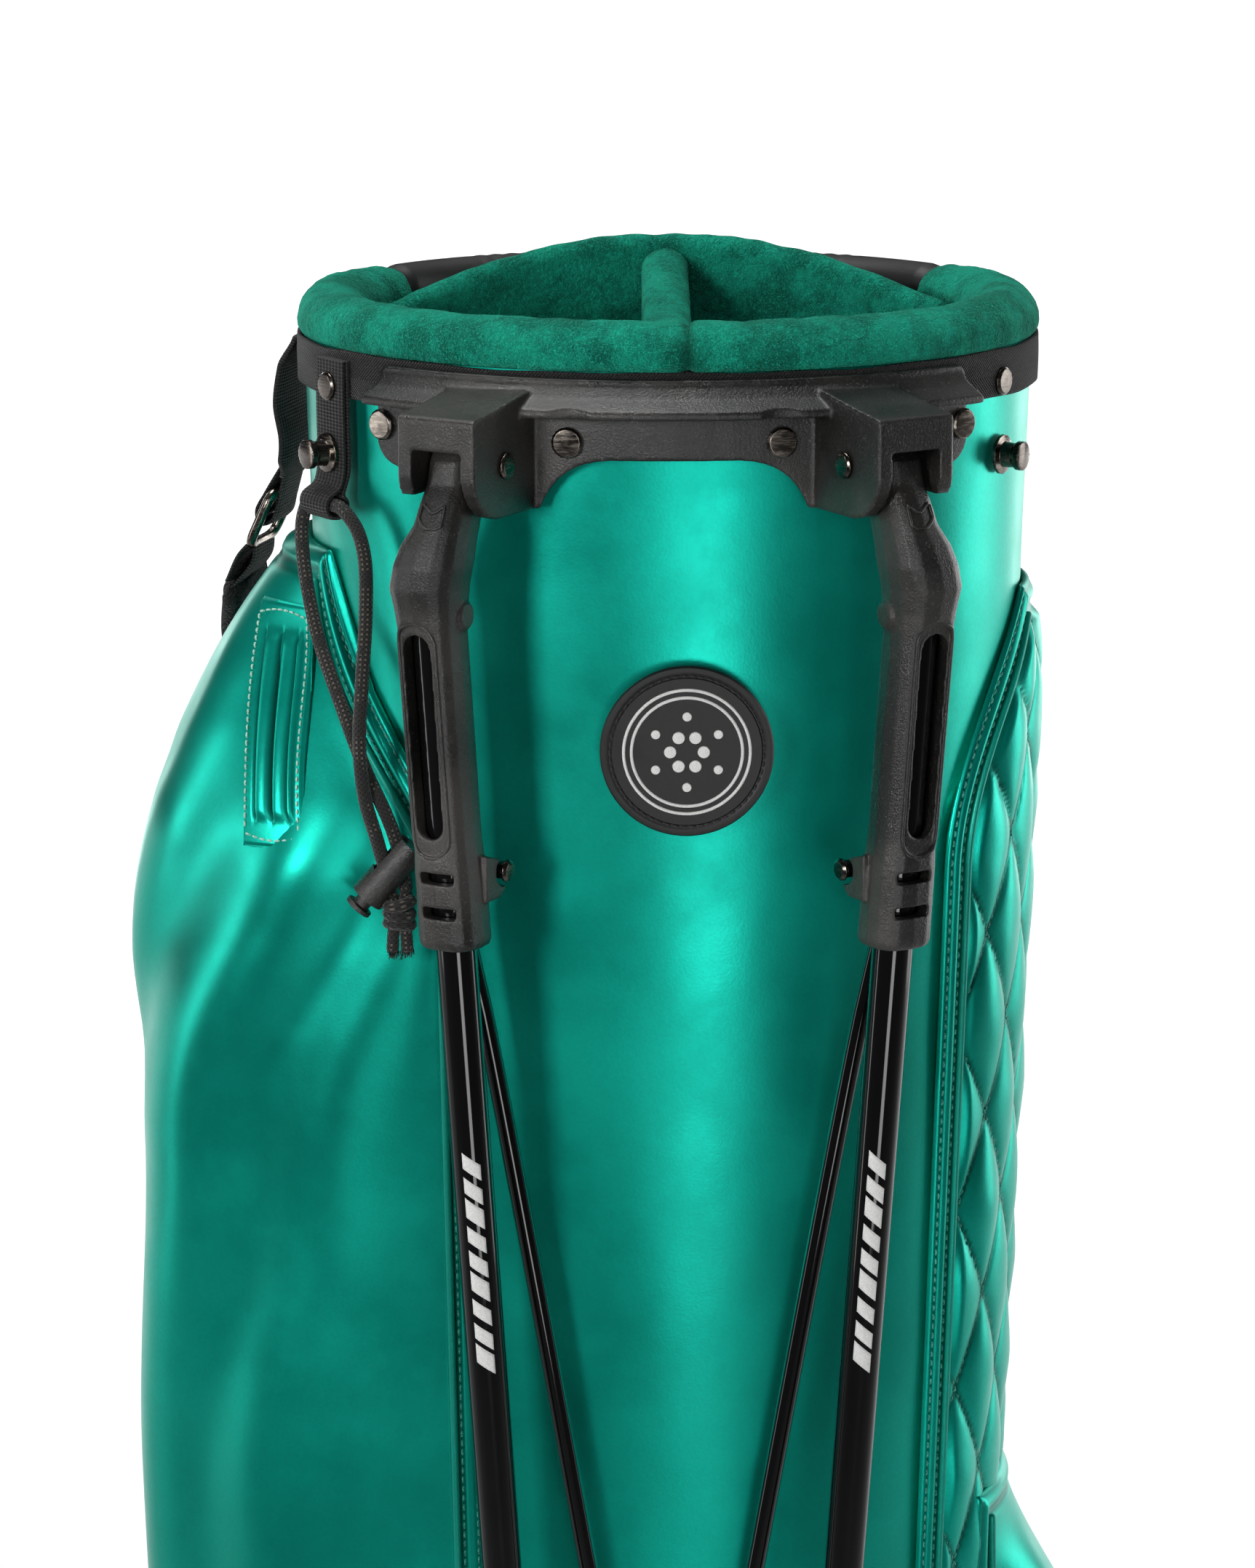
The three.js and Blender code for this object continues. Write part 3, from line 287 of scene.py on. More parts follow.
def add_tube(shape, path, radius, sides=10, closed=False):
    """A round tube along a path, with rounded ends unless it closes on itself."""
    stations = [(one, 0.0, 1.0) for one in frames_along(path)]
    if not closed:
        first, last = stations[0][0], stations[-1][0]
        stations = [(first, -0.6 * radius, 0.45), (first, -0.3 * radius, 0.85)] + stations
        stations += [(last, 0.3 * radius, 0.85), (last, 0.6 * radius, 0.45)]
    rings = []
    for (point, along, across, other), shift, size in stations:
        ring = []
        for t in turns(sides):
            round_about = across * math.cos(t) + other * math.sin(t)
            ring.append(point + along * shift + round_about * (radius * size))
        rings.append(ring)
    if closed:
        shape.grid(rings, wrap=True, loop=True)
    else:
        shape.skin(rings)


def add_ribbon(shape, path, normals, width, thick, edge=0.4):
    """A flat strap with soft edges that follows a path, its face towards the normals."""
    rings = []
    for i, (point, along) in enumerate(zip(path, directions(path))):
        across = normals[i].cross(along).normalized()
        out = along.cross(across).normalized()
        wide = width(i / (len(path) - 1)) if callable(width) else width
        ring = []
        for face in (1, -1):
            for u in spread(-face, face, 9):
                fall = edge * abs(u) ** 8
                ring.append(point + across * (u * wide / 2) + out * (face * (thick / 2 - fall)))
        rings.append(ring)
    shape.skin(rings)


def add_stitch(shape, centre, along, normal, length=2.3, width=0.75, height=0.5):
    """One stitch of thread: a short bead that dips at both ends."""
    along = along.normalized()
    across = normal.cross(along).normalized()
    rings = []
    for share, size in ((-1.0, 0.25), (-0.72, 0.85), (0.0, 1.0), (0.72, 0.85), (1.0, 0.25)):
        lift = height * (0.35 - 0.75 * share * share)
        ring = []
        for t in turns(6):
            spot = across * (math.cos(t) * width / 2 * size) + normal * (math.sin(t) * height * size)
            ring.append(centre + along * (share * length / 2) + normal * lift + spot)
        rings.append(ring)
    shape.skin(rings)


def stitch_line(shape, points, normals, pitch=STITCH_PITCH, **size):
    """Stitches laid end to end along a row of points."""
    lengths = distances(points)
    count = int(lengths[-1] // pitch)
    k = 0
    for i in range(count):
        goal = (i + 0.5) * lengths[-1] / count
        while k < len(points) - 2 and lengths[k + 1] < goal:
            k += 1
        share = clamp((goal - lengths[k]) / max(1e-9, lengths[k + 1] - lengths[k]))
        centre = points[k].lerp(points[k + 1], share)
        add_stitch(shape, centre, points[k + 1] - points[k], normals[k], **size)


def add_lathe(shape, profile, base, axis, sides):
    """A turned form: (radius, height) pairs from the axis and back to it."""
    axis = axis.normalized()
    across = axis.orthogonal().normalized()
    other = axis.cross(across)
    rings = []
    for radius, height in profile:
        ring = []
        for t in turns(sides):
            round_about = across * math.cos(t) + other * math.sin(t)
            ring.append(base + axis * height + round_about * max(radius, 0.02))
        rings.append(ring)
    shape.skin(rings)


# ---- Materials ----
class Nodes:
    """A short way to write a material's node tree."""

    def __init__(self, name):
        self.material = bpy.data.materials.new(name)
        self.material.use_nodes = True
        self.tree = self.material.node_tree
        self.shader = self.tree.nodes["Principled BSDF"]
        coordinates = self.tree.nodes.new("ShaderNodeTexCoord")
        self.place = coordinates.outputs["Object"]
        self.uv = coordinates.outputs["UV"]

    def node(self, kind, inputs=(), **settings):
        node = self.tree.nodes.new(kind)
        for key, value in settings.items():
            setattr(node, key, value)
        for key, value in dict(inputs).items():
            self.feed(node.inputs[key], value)
        return node

    def feed(self, socket, value):
        if isinstance(value, bpy.types.NodeSocket):
            self.tree.links.new(value, socket)
        else:
            socket.default_value = value

    def math(self, kind, a, b=0.0):
        node = self.node("ShaderNodeMath", operation=kind)
        for socket, value in zip(node.inputs, (a, b)):
            self.feed(socket, value)
        return node.outputs[0]

    def times(self, a, b):
        return self.math("MULTIPLY", a, b)

    def plus(self, a, b):
        return self.math("ADD", a, b)

    def wave(self, value, pitch):
        """A sine that repeats each pitch."""
        return self.math("SINE", self.times(value, 2 * math.pi / pitch))

    def uv_axes(self):
        split = self.node("ShaderNodeSeparateXYZ", {"Vector": self.uv})
        return split.outputs[0], split.outputs[1]

    def noise(self, scale, detail=3.0, rough=0.5, stretch=None):
        where = self.place
        if stretch:
            mapping = self.node("ShaderNodeMapping", {"Vector": where})
            mapping.inputs["Scale"].default_value = stretch
            where = mapping.outputs[0]
        settings = {"Vector": where, "Scale": scale, "Detail": detail, "Roughness": rough}
        return self.node("ShaderNodeTexNoise", settings).outputs["Fac"]

    def cells(self, scale):
        feed = {"Vector": self.place, "Scale": scale, "Smoothness": 0.5}
        return self.node("ShaderNodeTexVoronoi", feed, feature="SMOOTH_F1").outputs["Distance"]

    # Reads each point's painted shade, the darkening laid into grooves, seams and slits.
    def painted_shade(self):
        return self.node("ShaderNodeAttribute", attribute_name="painted_shade").outputs["Fac"]

    def span(self, value, start, end, low=0.0, high=1.0):
        feed = {"Value": value, "From Min": start, "From Max": end, "To Min": low, "To Max": high}
        return self.node("ShaderNodeMapRange", feed, interpolation_type="SMOOTHSTEP").outputs[0]

    def mix(self, share, first, second):
        node = self.node("ShaderNodeMix", data_type="RGBA")
        self.feed(node.inputs[0], share)
        self.feed(node.inputs[6], first)
        self.feed(node.inputs[7], second)
        return node.outputs[2]

    def bump(self, height, distance, strength=1.0, below=None):
        node = self.node("ShaderNodeBump", {"Height": height, "Distance": distance, "Strength": strength})
        if below:
            self.feed(node.inputs["Normal"], below)
        return node.outputs[0]

    def set(self, **values):
        for key, value in values.items():
            self.feed(self.shader.inputs[key.replace("_", " ")], value)
        return self.material


def dimmed(colour, share):
    return tuple(share * c for c in colour[:3]) + (1,)


def leather(name, pale_tone, deep, metallic=0.78, rough=0.35):
    """Satin-coated leather: fine pebble grain, soft mottling, and painted shade that darkens its creases,
    seams and slits.
    """
    n = Nodes(name)
    mottle = n.span(n.noise(9, 5, 0.6), 0.3, 0.7)
    pores = n.span(n.noise(700, 2, 0.5), 0.35, 0.65)
    colour = n.mix(n.times(mottle, 0.5), pale_tone, deep)
    colour = n.mix(n.times(pores, 0.18), colour, deep)
    # Painted shade: the per-point shade pulls the colour towards a dim copy of the deep tone.
    colour = n.mix(n.painted_shade(), colour, dimmed(deep, 0.18))
    folds = n.bump(n.noise(45, 2, 0.5), 0.0003, 0.25)
    pebbles = n.bump(n.cells(1100), 0.00005, 0.3, folds)
    roughness = n.plus(n.span(n.noise(24, 4, 0.6), 0.25, 0.75, -0.05, 0.07), rough)
    n.set(Base_Color=colour, Roughness=roughness, Metallic=metallic, Normal=pebbles)
    return n.set(Specular_IOR_Level=0.4)


def plush(name, light, dark, sheen):
    """Short-pile fleece: patches where the nap lies another way, painted sheen on the tips of the pile,
    painted shade in its seams, and a soft sheen.
    """
    n = Nodes(name)
    nap = n.span(n.noise(55, 5, 0.7), 0.38, 0.6)
    tufts = n.span(n.noise(620, 3, 0.7), 0.3, 0.7)
    fine = n.noise(1900, 2, 0.6)
    colour = n.mix(nap, dark, light)
    colour = n.mix(n.times(tufts, 0.4), colour, dark)
    # Painted sheen: a brightened copy of the light colour on the high points of the pile.
    tip_sheen = tuple(min(1, 1.7 * c + 0.02) for c in light[:3]) + (1,)
    colour = n.mix(n.times(n.span(fine, 0.52, 0.66), 0.5), colour, tip_sheen)
    # Painted shade: the per-point shade darkens the seam towards a dim copy of the dark colour.
    colour = n.mix(n.painted_shade(), colour, dimmed(dark, 0.35))
    pile = n.bump(fine, 0.0006, 0.8, n.bump(tufts, 0.0011, 0.8))
    n.set(Base_Color=colour, Roughness=0.95, Normal=pile, Specular_IOR_Level=0.12)
    return n.set(Sheen_Weight=0.4, Sheen_Roughness=0.4, Sheen_Tint=sheen)


def woven(name, base, fleck, pitch, herringbone):
    """Twill tape: slanting ribs that turn back every few millimetres, in uneven yarn."""
    n = Nodes(name)
    u, v = n.uv_axes()
    ribs = n.wave(n.plus(v, n.math("PINGPONG", u, herringbone)), pitch)
    threads = n.wave(u, 0.62 * pitch)
    height = n.plus(n.times(ribs, 0.5), n.times(threads, 0.22))
    height = n.plus(height, n.times(n.noise(900, 2), 0.5))
    yarn = n.span(n.noise(1500, 2, 0.6), 0.52, 0.74)
    # Painted shade: the low parts of the ribs and threads darken towards a dim copy of the base.
    colour = n.mix(n.span(height, -0.5, 1.0), dimmed(base, 0.35), base)
    colour = n.mix(n.times(yarn, 0.6), colour, fleck)
    n.set(Base_Color=colour, Roughness=0.82, Normal=n.bump(height, 0.00045, 0.9))
    return n.set(Specular_IOR_Level=0.3, Sheen_Weight=0.15, Sheen_Roughness=0.4)


def ribbed(name, base, fleck, pitch=1.1):
    """Coarse webbing with ribs across it."""
    n = Nodes(name)
    u, v = n.uv_axes()
    height = n.plus(n.times(n.wave(v, pitch), 0.7), n.times(n.wave(u, 1.7 * pitch), 0.3))
    height = n.plus(height, n.times(n.noise(1100, 2), 0.5))
    # Painted shade: the low parts between the ribs darken towards a dim copy of the base.
    colour = n.mix(n.span(height, -0.8, 1.1), dimmed(base, 0.3), base)
    colour = n.mix(n.times(n.span(n.noise(1700), 0.55, 0.75), 0.5), colour, fleck)
    n.set(Base_Color=colour, Roughness=0.8, Normal=n.bump(height, 0.0005, 0.9))
    return n.set(Specular_IOR_Level=0.3, Sheen_Weight=0.1)


def moulded(name, base, light, rough=0.32):
    """Spark-eroded plastic: a fine matt grain, with painted glints that lighten its high spots."""
    n = Nodes(name)
    grain_and_glint = n.noise(1300, 3, 0.7)
    # Painted glints: the grain's high spots are lightened towards the light colour.
    colour = n.mix(n.span(grain_and_glint, 0.56, 0.82), base, light)
    colour = n.mix(n.times(n.span(n.noise(22, 4), 0.4, 0.7), 0.3), colour, light)
    roughness = n.span(n.noise(60, 3), 0.3, 0.7, rough - 0.06, rough + 0.08)
    n.set(Base_Color=colour, Roughness=roughness, Normal=n.bump(grain_and_glint, 0.0003, 0.8))
    return n.set(Specular_IOR_Level=0.55)


def lacquer(name, base, marks, rough=0.07):
    """Gloss paint over tube, with faint dust and handling marks."""
    n = Nodes(name)
    smear = n.span(n.noise(30, 5, 0.65, stretch=(1, 1, 0.2)), 0.5, 0.8)
    roughness = n.plus(n.times(smear, 0.12), rough)
    colour = n.mix(n.times(smear, 0.25), base, marks)
    n.set(Base_Color=colour, Roughness=roughness, Normal=n.bump(n.noise(120, 2), 0.00003, 0.4))
    return n.set(Specular_IOR_Level=0.3, Coat_Weight=0.35, Coat_Roughness=0.04)


def rubber(name, base, pale):
    """Matt rubber with pale dust in patches."""
    n = Nodes(name)
    grain = n.noise(1400, 3, 0.6)
    dust = n.span(n.noise(35, 5, 0.7), 0.45, 0.75)
    colour = n.mix(n.times(dust, 0.35), base, pale)
    roughness = n.span(dust, 0, 1, 0.5, 0.68)
    n.set(Base_Color=colour, Roughness=roughness, Normal=n.bump(grain, 0.00012, 0.6))
    return n.set(Specular_IOR_Level=0.4)


def metal(name, base, worn, rough=0.2):
    """Plated steel with turning marks and rubbed patches."""
    n = Nodes(name)
    brush = n.noise(260, 3, 0.6, stretch=(1, 1, 6))
    colour = n.mix(n.span(n.noise(90, 4, 0.6), 0.4, 0.7), base, worn)
    roughness = n.span(brush, 0.3, 0.7, rough - 0.08, rough + 0.12)
    return n.set(
        Base_Color=colour, Roughness=roughness, Metallic=1.0, Normal=n.bump(brush, 0.00005, 0.5)
    )


def braid(name, base, fleck, pitch=3.2):
    """Braided cord: crossing diagonal strands, some of them pale."""
    n = Nodes(name)
    u, v = n.uv_axes()
    one = n.wave(n.plus(v, u), pitch)
    two = n.wave(n.math("SUBTRACT", v, u), pitch)
    weave = n.math("MAXIMUM", n.math("ABSOLUTE", one), n.math("ABSOLUTE", two))
    height = n.plus(weave, n.times(n.noise(2600, 2, 0.6), 0.35))
    pale = n.math("GREATER_THAN", n.times(one, two), 0.52)
    patch = n.math("GREATER_THAN", n.noise(170, 1, 0.5), 0.5)
    # Painted shade: the hollows between the crossing strands darken towards a dim copy of the base.
    colour = n.mix(n.span(weave, 0.6, 1.0), dimmed(base, 0.3), base)
    colour = n.mix(n.times(n.times(pale, patch), 0.9), colour, fleck)
    n.set(Base_Color=colour, Roughness=0.78, Normal=n.bump(height, 0.0004, 0.9))
    return n.set(Specular_IOR_Level=0.3, Sheen_Weight=0.2)


def thread(name, base, shade):
    """Sewing thread: a fine twist along each stitch."""
    n = Nodes(name)
    twist = n.noise(2200, 2, 0.5)
    # Painted shade: the twist's grooves take the darker shade colour.
    colour = n.mix(n.span(twist, 0.35, 0.65), shade, base)
    n.set(Base_Color=colour, Roughness=0.6, Normal=n.bump(twist, 0.00012, 0.7))
    return n.set(Specular_IOR_Level=0.4, Sheen_Weight=0.15)


GREEN = leather("leather_green", (0.0, 0.44, 0.335, 1), (0.0, 0.27, 0.2, 1))
GREEN_TRIM = leather("leather_green_trim", (0.0, 0.36, 0.27, 1), (0.0, 0.2, 0.15, 1), 0.4, 0.42)
PLUSH = plush("plush_green", (0.006, 0.36, 0.235, 1), (0.0, 0.12, 0.078, 1), (0.12, 0.85, 0.6, 1))
TWILL = woven("twill_black", (0.02, 0.02, 0.02, 1), (0.075, 0.068, 0.062, 1), 1.15, 8.0)
WEBBING = ribbed("webbing_black", (0.018, 0.018, 0.018, 1), (0.06, 0.055, 0.05, 1))
STRAP = plush("strap_fleece", (0.012, 0.012, 0.012, 1), (0.004, 0.004, 0.004, 1), (0.6, 0.6, 0.6, 1))
MOULDING = moulded("moulding_black", (0.008, 0.0076, 0.0072, 1), (0.13, 0.12, 0.108, 1))
GLOSS = lacquer("gloss_black", (0.0035, 0.0035, 0.004, 1), (0.012, 0.013, 0.014, 1))
RUBBER = rubber("rubber_black", (0.009, 0.009, 0.0095, 1), (0.035, 0.034, 0.033, 1))
METAL = metal("gunmetal", (0.1, 0.088, 0.078, 1), (0.24, 0.21, 0.18, 1))
CORD = braid("cord_black", (0.02, 0.019, 0.018, 1), (0.13, 0.11, 0.085, 1))
THREAD = thread("thread_green", (0.06, 0.46, 0.35, 1), (0.0, 0.12, 0.09, 1))
THREAD_PALE = thread("thread_pale", (0.5, 0.78, 0.66, 1), (0.2, 0.5, 0.4, 1))
THREAD_BLACK = thread("thread_black", (0.03, 0.03, 0.03, 1), (0.006, 0.006, 0.006, 1))
WHITE = thread("print_white", (0.82, 0.82, 0.8, 1), (0.7, 0.7, 0.68, 1))

# ---- Camera ----
CAMERA_PLACE = Vector((-33, -1530, 1084))
CAMERA_YAW = 0.747
CAMERA_PITCH = -13.6
FOCAL_SHARE = 6527 / 1725  # focal length over the picture's width

camera_data = bpy.data.cameras.new("camera")
camera_data.sensor_fit = "HORIZONTAL"
camera_data.sensor_width = 36
camera_data.lens = 36 * FOCAL_SHARE
camera_data.clip_end = 200
camera = bpy.data.objects.new("camera", camera_data)
camera.location = CAMERA_PLACE * MM
camera.rotation_euler = Euler((math.radians(90 + CAMERA_PITCH), 0, math.radians(-CAMERA_YAW)))
bpy.context.scene.collection.objects.link(camera)
bpy.context.scene.camera = camera

# ---- Cord: two strands from the loop's eye through the lock to the knot ----
LOOP_EYE = body_point(LOOP_ANGLE, BAND["high"], EYE_OUT)
LOOP_EYE.z = EYE_HEIGHT
LOOP_ACROSS = body_normal(LOOP_ANGLE).cross(UP)


def in_eye(distance):
    return LOOP_EYE + LOOP_ACROSS * distance


def vectors(*triples):
    return [Vector(triple) for triple in triples]


BACK_STRAND = [in_eye(0.3), in_eye(4.5), in_eye(8.6)] + vectors(
    (-115.6, -42.4, 815.6),
    (-117, -42.6, 810),
    (-116.4, -47, 798),
    (-112, -57, 777),
    (-104.4, -68.6, 757),
    (-96.6, -78.2, 738),
    (-89.6, -84.4, 724),
    (-86.4, -84.7, 714.5),
    (-83.9, -84.6, 700.6),
)
FRONT_STRAND = [in_eye(-0.3), in_eye(-4.5), in_eye(-8.6)] + vectors(
    (-102, -62.2, 816.4),
    (-98.4, -65.4, 811.4),
    (-96.2, -68, 803),
    (-96, -71.6, 785),
    (-97.2, -77.4, 765),
    (-98, -82.7, 747),
    (-96.4, -85, 730),
    (-92.6, -85.2, 716),
    (-88.7, -84.9, 700.6),
)


def cord_knot():
    """An overhand knot: wraps round the two strands, and two frayed tails."""
    shape = Shape()
    for k, (lift, tilt) in enumerate([(3.6, 0.28), (0.4, -0.2), (-2.9, 0.24)]):
        loop = []
        for t in turns(28):
            spot = Vector((3.4 * math.cos(t), 3.1 * math.sin(t), lift + 3.0 * tilt * math.cos(t + k)))
            loop.append(KNOT + spot)
        add_tube(shape, loop, 2.05, 12, closed=True)
    for side in (-1, 1):
        top = Vector((-86.3 + 2.4 * side, -84.85, 699.4))
        middle = KNOT + Vector((1.2 * side, 0.4, 0))
        end = Vector((KNOT.x + 2.3 * side, KNOT.y, 681.4))
        tail = curve_through([top, middle, KNOT + Vector((2.0 * side, 0, -6)), end], 18)
        add_tube(shape, tail, 2.0, 12)
        chance = random.Random(31 + side)
        for _ in range(40):
            root = end + Vector((chance.uniform(-1.6, 1.6), chance.uniform(-1.6, 1.6), 1.0))
            reach = (chance.uniform(-1.2, 1.2), chance.uniform(-1.0, 1.0), chance.uniform(-4.2, -2))
            tip = root + Vector(reach)
            add_tube(shape, [root, root.lerp(tip, 0.5) + Vector((0.2, 0, 0)), tip], 0.16, 4)
    return finish_piece(shape, "cord_knot_wrap", CORD, "cord_knot", crease=60)


knot_piece = cord_knot()
for name, points in (("back", BACK_STRAND), ("front", FRONT_STRAND)):
    route = curve_through(points, 90)
    strand = Shape()
    add_tube(strand, route, CORD_RADIUS, 16)
    piece = finish_piece(strand, f"cord_{name}", CORD, f"cord_strand_{name}", crease=60)
    distances(route)[-1] * MM


# ---- Pads: pockets that follow the body ----
def garment_edges(z):
    return (152, 236 - 34 * ramp(z, 690, 810))


def garment_swell(u, z):
    closing = clamp((z - 640) / 160)
    front_ease = 0.62 - 0.2 * ramp(z, 680, 770)
    across = ramp(u, 0, 0.42) * ramp(1 - u, 0, front_ease)
    return 2.4 + 66 * across * ramp(z, 140, 260) * (1 - 0.97 * closing**2)


def quilted_edges(z):
    return (-40 + 27 * (max(0, z - 700) / 85) ** 2, 42)


def quilted_swell(u, z):
    return 2 + 4.2 * arch(u, 0.2) * ramp(z, 150, 220) * (1 - ramp(z, 750, 790))


def ball_edges(z):
    return (-25, 36)


def ball_swell(u, z):
    return 2 + 34 * arch(u, 0.35) * ramp(z, 205, 275) * (1 - ramp(z, 395, 480))


def hip_edges(z):
    return (71, 109)


def hip_swell(u, z):
    return 3 + 13 * arch(u, 0.25) * ramp(z, 330, 380) * (1 - ramp(z, 585, 632))


PADS = {
    "garment": (140, 800, PAD_REST, garment_edges, garment_swell),
    "quilted": (150, 785, PAD_REST, quilted_edges, quilted_swell),
    "ball": (215, 478, 7.8, ball_edges, ball_swell),
    "hip": (330, 630, PAD_REST, hip_edges, hip_swell),
}


def pad_point(pad, angle, z, offset=0.0):
    low, high, rest, edges, swell = PADS[pad]
    start, end = edges(z)
    return body_point(angle, z, rest + swell((angle - start) / (end - start), z) + offset)


def pad_normal(pad, angle, z):
    sideways = pad_point(pad, angle + 0.5, z) - pad_point(pad, angle - 0.5, z)
    upward = pad_point(pad, angle, z + 2) - pad_point(pad, angle, z - 2)
    return sideways.cross(upward).normalized()


def inner_normal(pad, angle, z):
    """The pad's normal, taken a little way in where the point lies on the pad's end."""
    low, high = PADS[pad][:2]
    return pad_normal(pad, angle, clamp(z, low + 3, high - 3))


def steps_with_fine_edges(length, fine, coarse, margin):
    """Positions from 0 to a length, closer together near both ends."""
    edge = [fine * i for i in range(int(margin / fine) + 1)]
    count = max(2, round((length - 2 * edge[-1]) / coarse))
    middle = [edge[-1] + (length - 2 * edge[-1]) * i / count for i in range(1, count)]
    return edge + middle + [length - e for e in reversed(edge)]


def degree_length(z):
    """Millimetres to one degree round the body."""
    return math.radians(1) * (MEAN_RADIUS + (z - 400) * 0.012)


def edge_stretch(pad, side, z):
    """How much longer a side edge of a pad is than its height, where it leans."""
    low, high, _, edges, _ = PADS[pad]
    slope = (edges(min(z + 1, high))[side] - edges(max(z - 1, low))[side]) / 2 * degree_length(z)
    return math.hypot(1, slope)


def edge_distances(pad, angle, z):
    """How far a point lies from the pad's side edges, its foot and its head, along the surface."""
    low, high, _, edges, _ = PADS[pad]
    start, end = edges(z)
    first = (angle - start) * degree_length(z) / edge_stretch(pad, 0, z)
    last = (end - angle) * degree_length(z)
    return first, last, z - low, high - z


def make_pad(pad, name, replaced, surface, fine, coarse, margin=14, back_size=(9, 9)):
    """A pad's closed mesh from surface(angle, z), which gives (offset beyond its face, painted shade)."""
    low, high, rest, edges, _ = PADS[pad]
    width = math.radians(edges(500)[1] - edges(500)[0]) * 108
    shares = [s / width for s in steps_with_fine_edges(width, fine, coarse, margin)]
    heights = [low + h for h in steps_with_fine_edges(high - low, fine * 1.5, coarse * 1.3, margin)]
    rows, painted_shades = [], []
    for z in heights:
        start, end = edges(z)
        row, shade_row = [], []
        for share in shares:
            angle = start + (end - start) * share
            offset, painted_shade = surface(angle, z)
            normal = inner_normal(pad, clamp(angle, start + 0.6, end - 0.6), z)
            row.append(pad_point(pad, angle, z) + normal * offset)
            shade_row.append(painted_shade)
        rows.append(row)
        painted_shades.append(shade_row)
    shape = Shape()

    def back_at(v, u):
        z = heights[round(v * (len(heights) - 1))]
        start, end = edges(z)
        share = shares[round(u * (len(shares) - 1))]
        return body_point(start + (end - start) * share, z, rest)

    closed_sheet(shape, rows, back_at, back_size, painted_shades)
    return finish_piece(shape, name, GREEN, replaced)


# Piping and stitches run along a border: how far each lies from the pad's edge.
BORDER = {"stitches": (1.9, 6.9), "piping": 9.2, "end": 10.6}


def border_profile(distance):
    """A sewn strip: rounded edge, two sunk stitch lines with a ridge between, then a dip."""
    outer, inner = BORDER["stitches"]
    edge = -1.6 * (1 - ramp(distance, 0, 1.3))
    ridge = bump(distance, (outer + inner) / 2, 1.7)
    sunk = -0.55 * (bump(distance, outer, 0.55) + bump(distance, inner, 0.6))
    dip = -0.7 * bump(distance, BORDER["piping"], 1.1)
    return edge + ridge + sunk + dip


# Painted shade in the two sunk stitch lines and in the dip beside the piping.
def border_painted_shade(distance):
    outer, inner = BORDER["stitches"]
    stitches = bump(distance, outer, 0.5) + bump(distance, inner, 0.5)
    return 0.7 * stitches + 0.6 * bump(distance, 9.0, 1.2)


def edge_run(pad, side, inset, lift):
    """Points and normals along one side edge of a pad, a set distance in from it."""
    low, high, _, edges, _ = PADS[pad]
    points, normals = [], []
    z = low + inset
    while z <= high - inset:
        turn = inset * edge_stretch(pad, side, z) / degree_length(z)
        angle = edges(z)[side] + (-turn if side else turn)
        normal = inner_normal(pad, angle, z)
        points.append(pad_point(pad, angle, z) + normal * lift)
        normals.append(normal)
        z += 2
    return points, normals


def border_piping(pad, radius, lift):
    shape = Shape()
    for side in (0, 1):
        points, _ = edge_run(pad, side, BORDER["piping"], lift)
        add_tube(shape, points, radius, 10)
    return finish_piece(shape, f"{pad}_piping", GREEN_TRIM)


def border_stitches(shape, pad, **size):
    for side in (0, 1):
        for inset in BORDER["stitches"]:
            points, normals = edge_run(pad, side, inset, 0.25 + border_profile(inset))
            stitch_line(shape, points, normals, **size)


def bordered(nearest, inside, offset, painted_shade):
    """A surface that has the sewn border at its edge and its own offset and painted shade within."""
    offset += border_profile(nearest) * (1 - inside)
    painted_shade += border_painted_shade(nearest) * (1 - inside)
    return offset, clamp(painted_shade)


# ---- Quilted pocket ----
QUILT = {"width": 28.5, "height": 62.3, "angle": -36.2, "z": 645, "lean": -0.055, "puff": 3.1}


def quilt_phases(angle, z):
    x = math.radians(angle - QUILT["angle"]) * MEAN_RADIUS - QUILT["lean"] * (z - QUILT["z"])
    y = z - QUILT["z"]
    across, down = x / QUILT["width"], y / QUILT["height"]
    return across + down, across - down


def quilted_surface(angle, z):
    first, last, below, above = edge_distances("quilted", angle, z)
    nearest = min(first, last, below, above)
    p, q = quilt_phases(angle, z)
    seam = abs(math.sin(math.pi * p) * math.sin(math.pi * q))
    inside = ramp(nearest, BORDER["end"] - 0.8, BORDER["end"] + 3.5)
    crease = min(abs(math.sin(math.pi * p)), abs(math.sin(math.pi * q)))
    _, zip_angle, zip_foot, zip_head = ZIPS["valuables"]
    beside_zip = ramp(abs(angle - zip_angle), 4.2, 7.5)
    under_zip = (1 - beside_zip) * ramp(z, zip_foot - 12, zip_foot - 2) * ramp(zip_head + 12 - z, 0, 10)
    puff = QUILT["puff"] * seam**0.42 * inside * (1 - 0.93 * under_zip)
    soft = 0.5 * ripple(Vector((angle * CLOTH_DEGREE, z, 0)), 16, 3) * inside
    # Painted shade along the quilting seams, where the puffs dip to the stitches.
    painted_shade = inside * 0.95 * (1 - ramp(crease, 0.02, 0.17))
    return bordered(nearest, inside, puff + soft * seam - 0.6 * inside, painted_shade)


quilted_piece = make_pad("quilted", "quilted_panel", "quilted_pocket", quilted_surface, 0.7, 1.25)


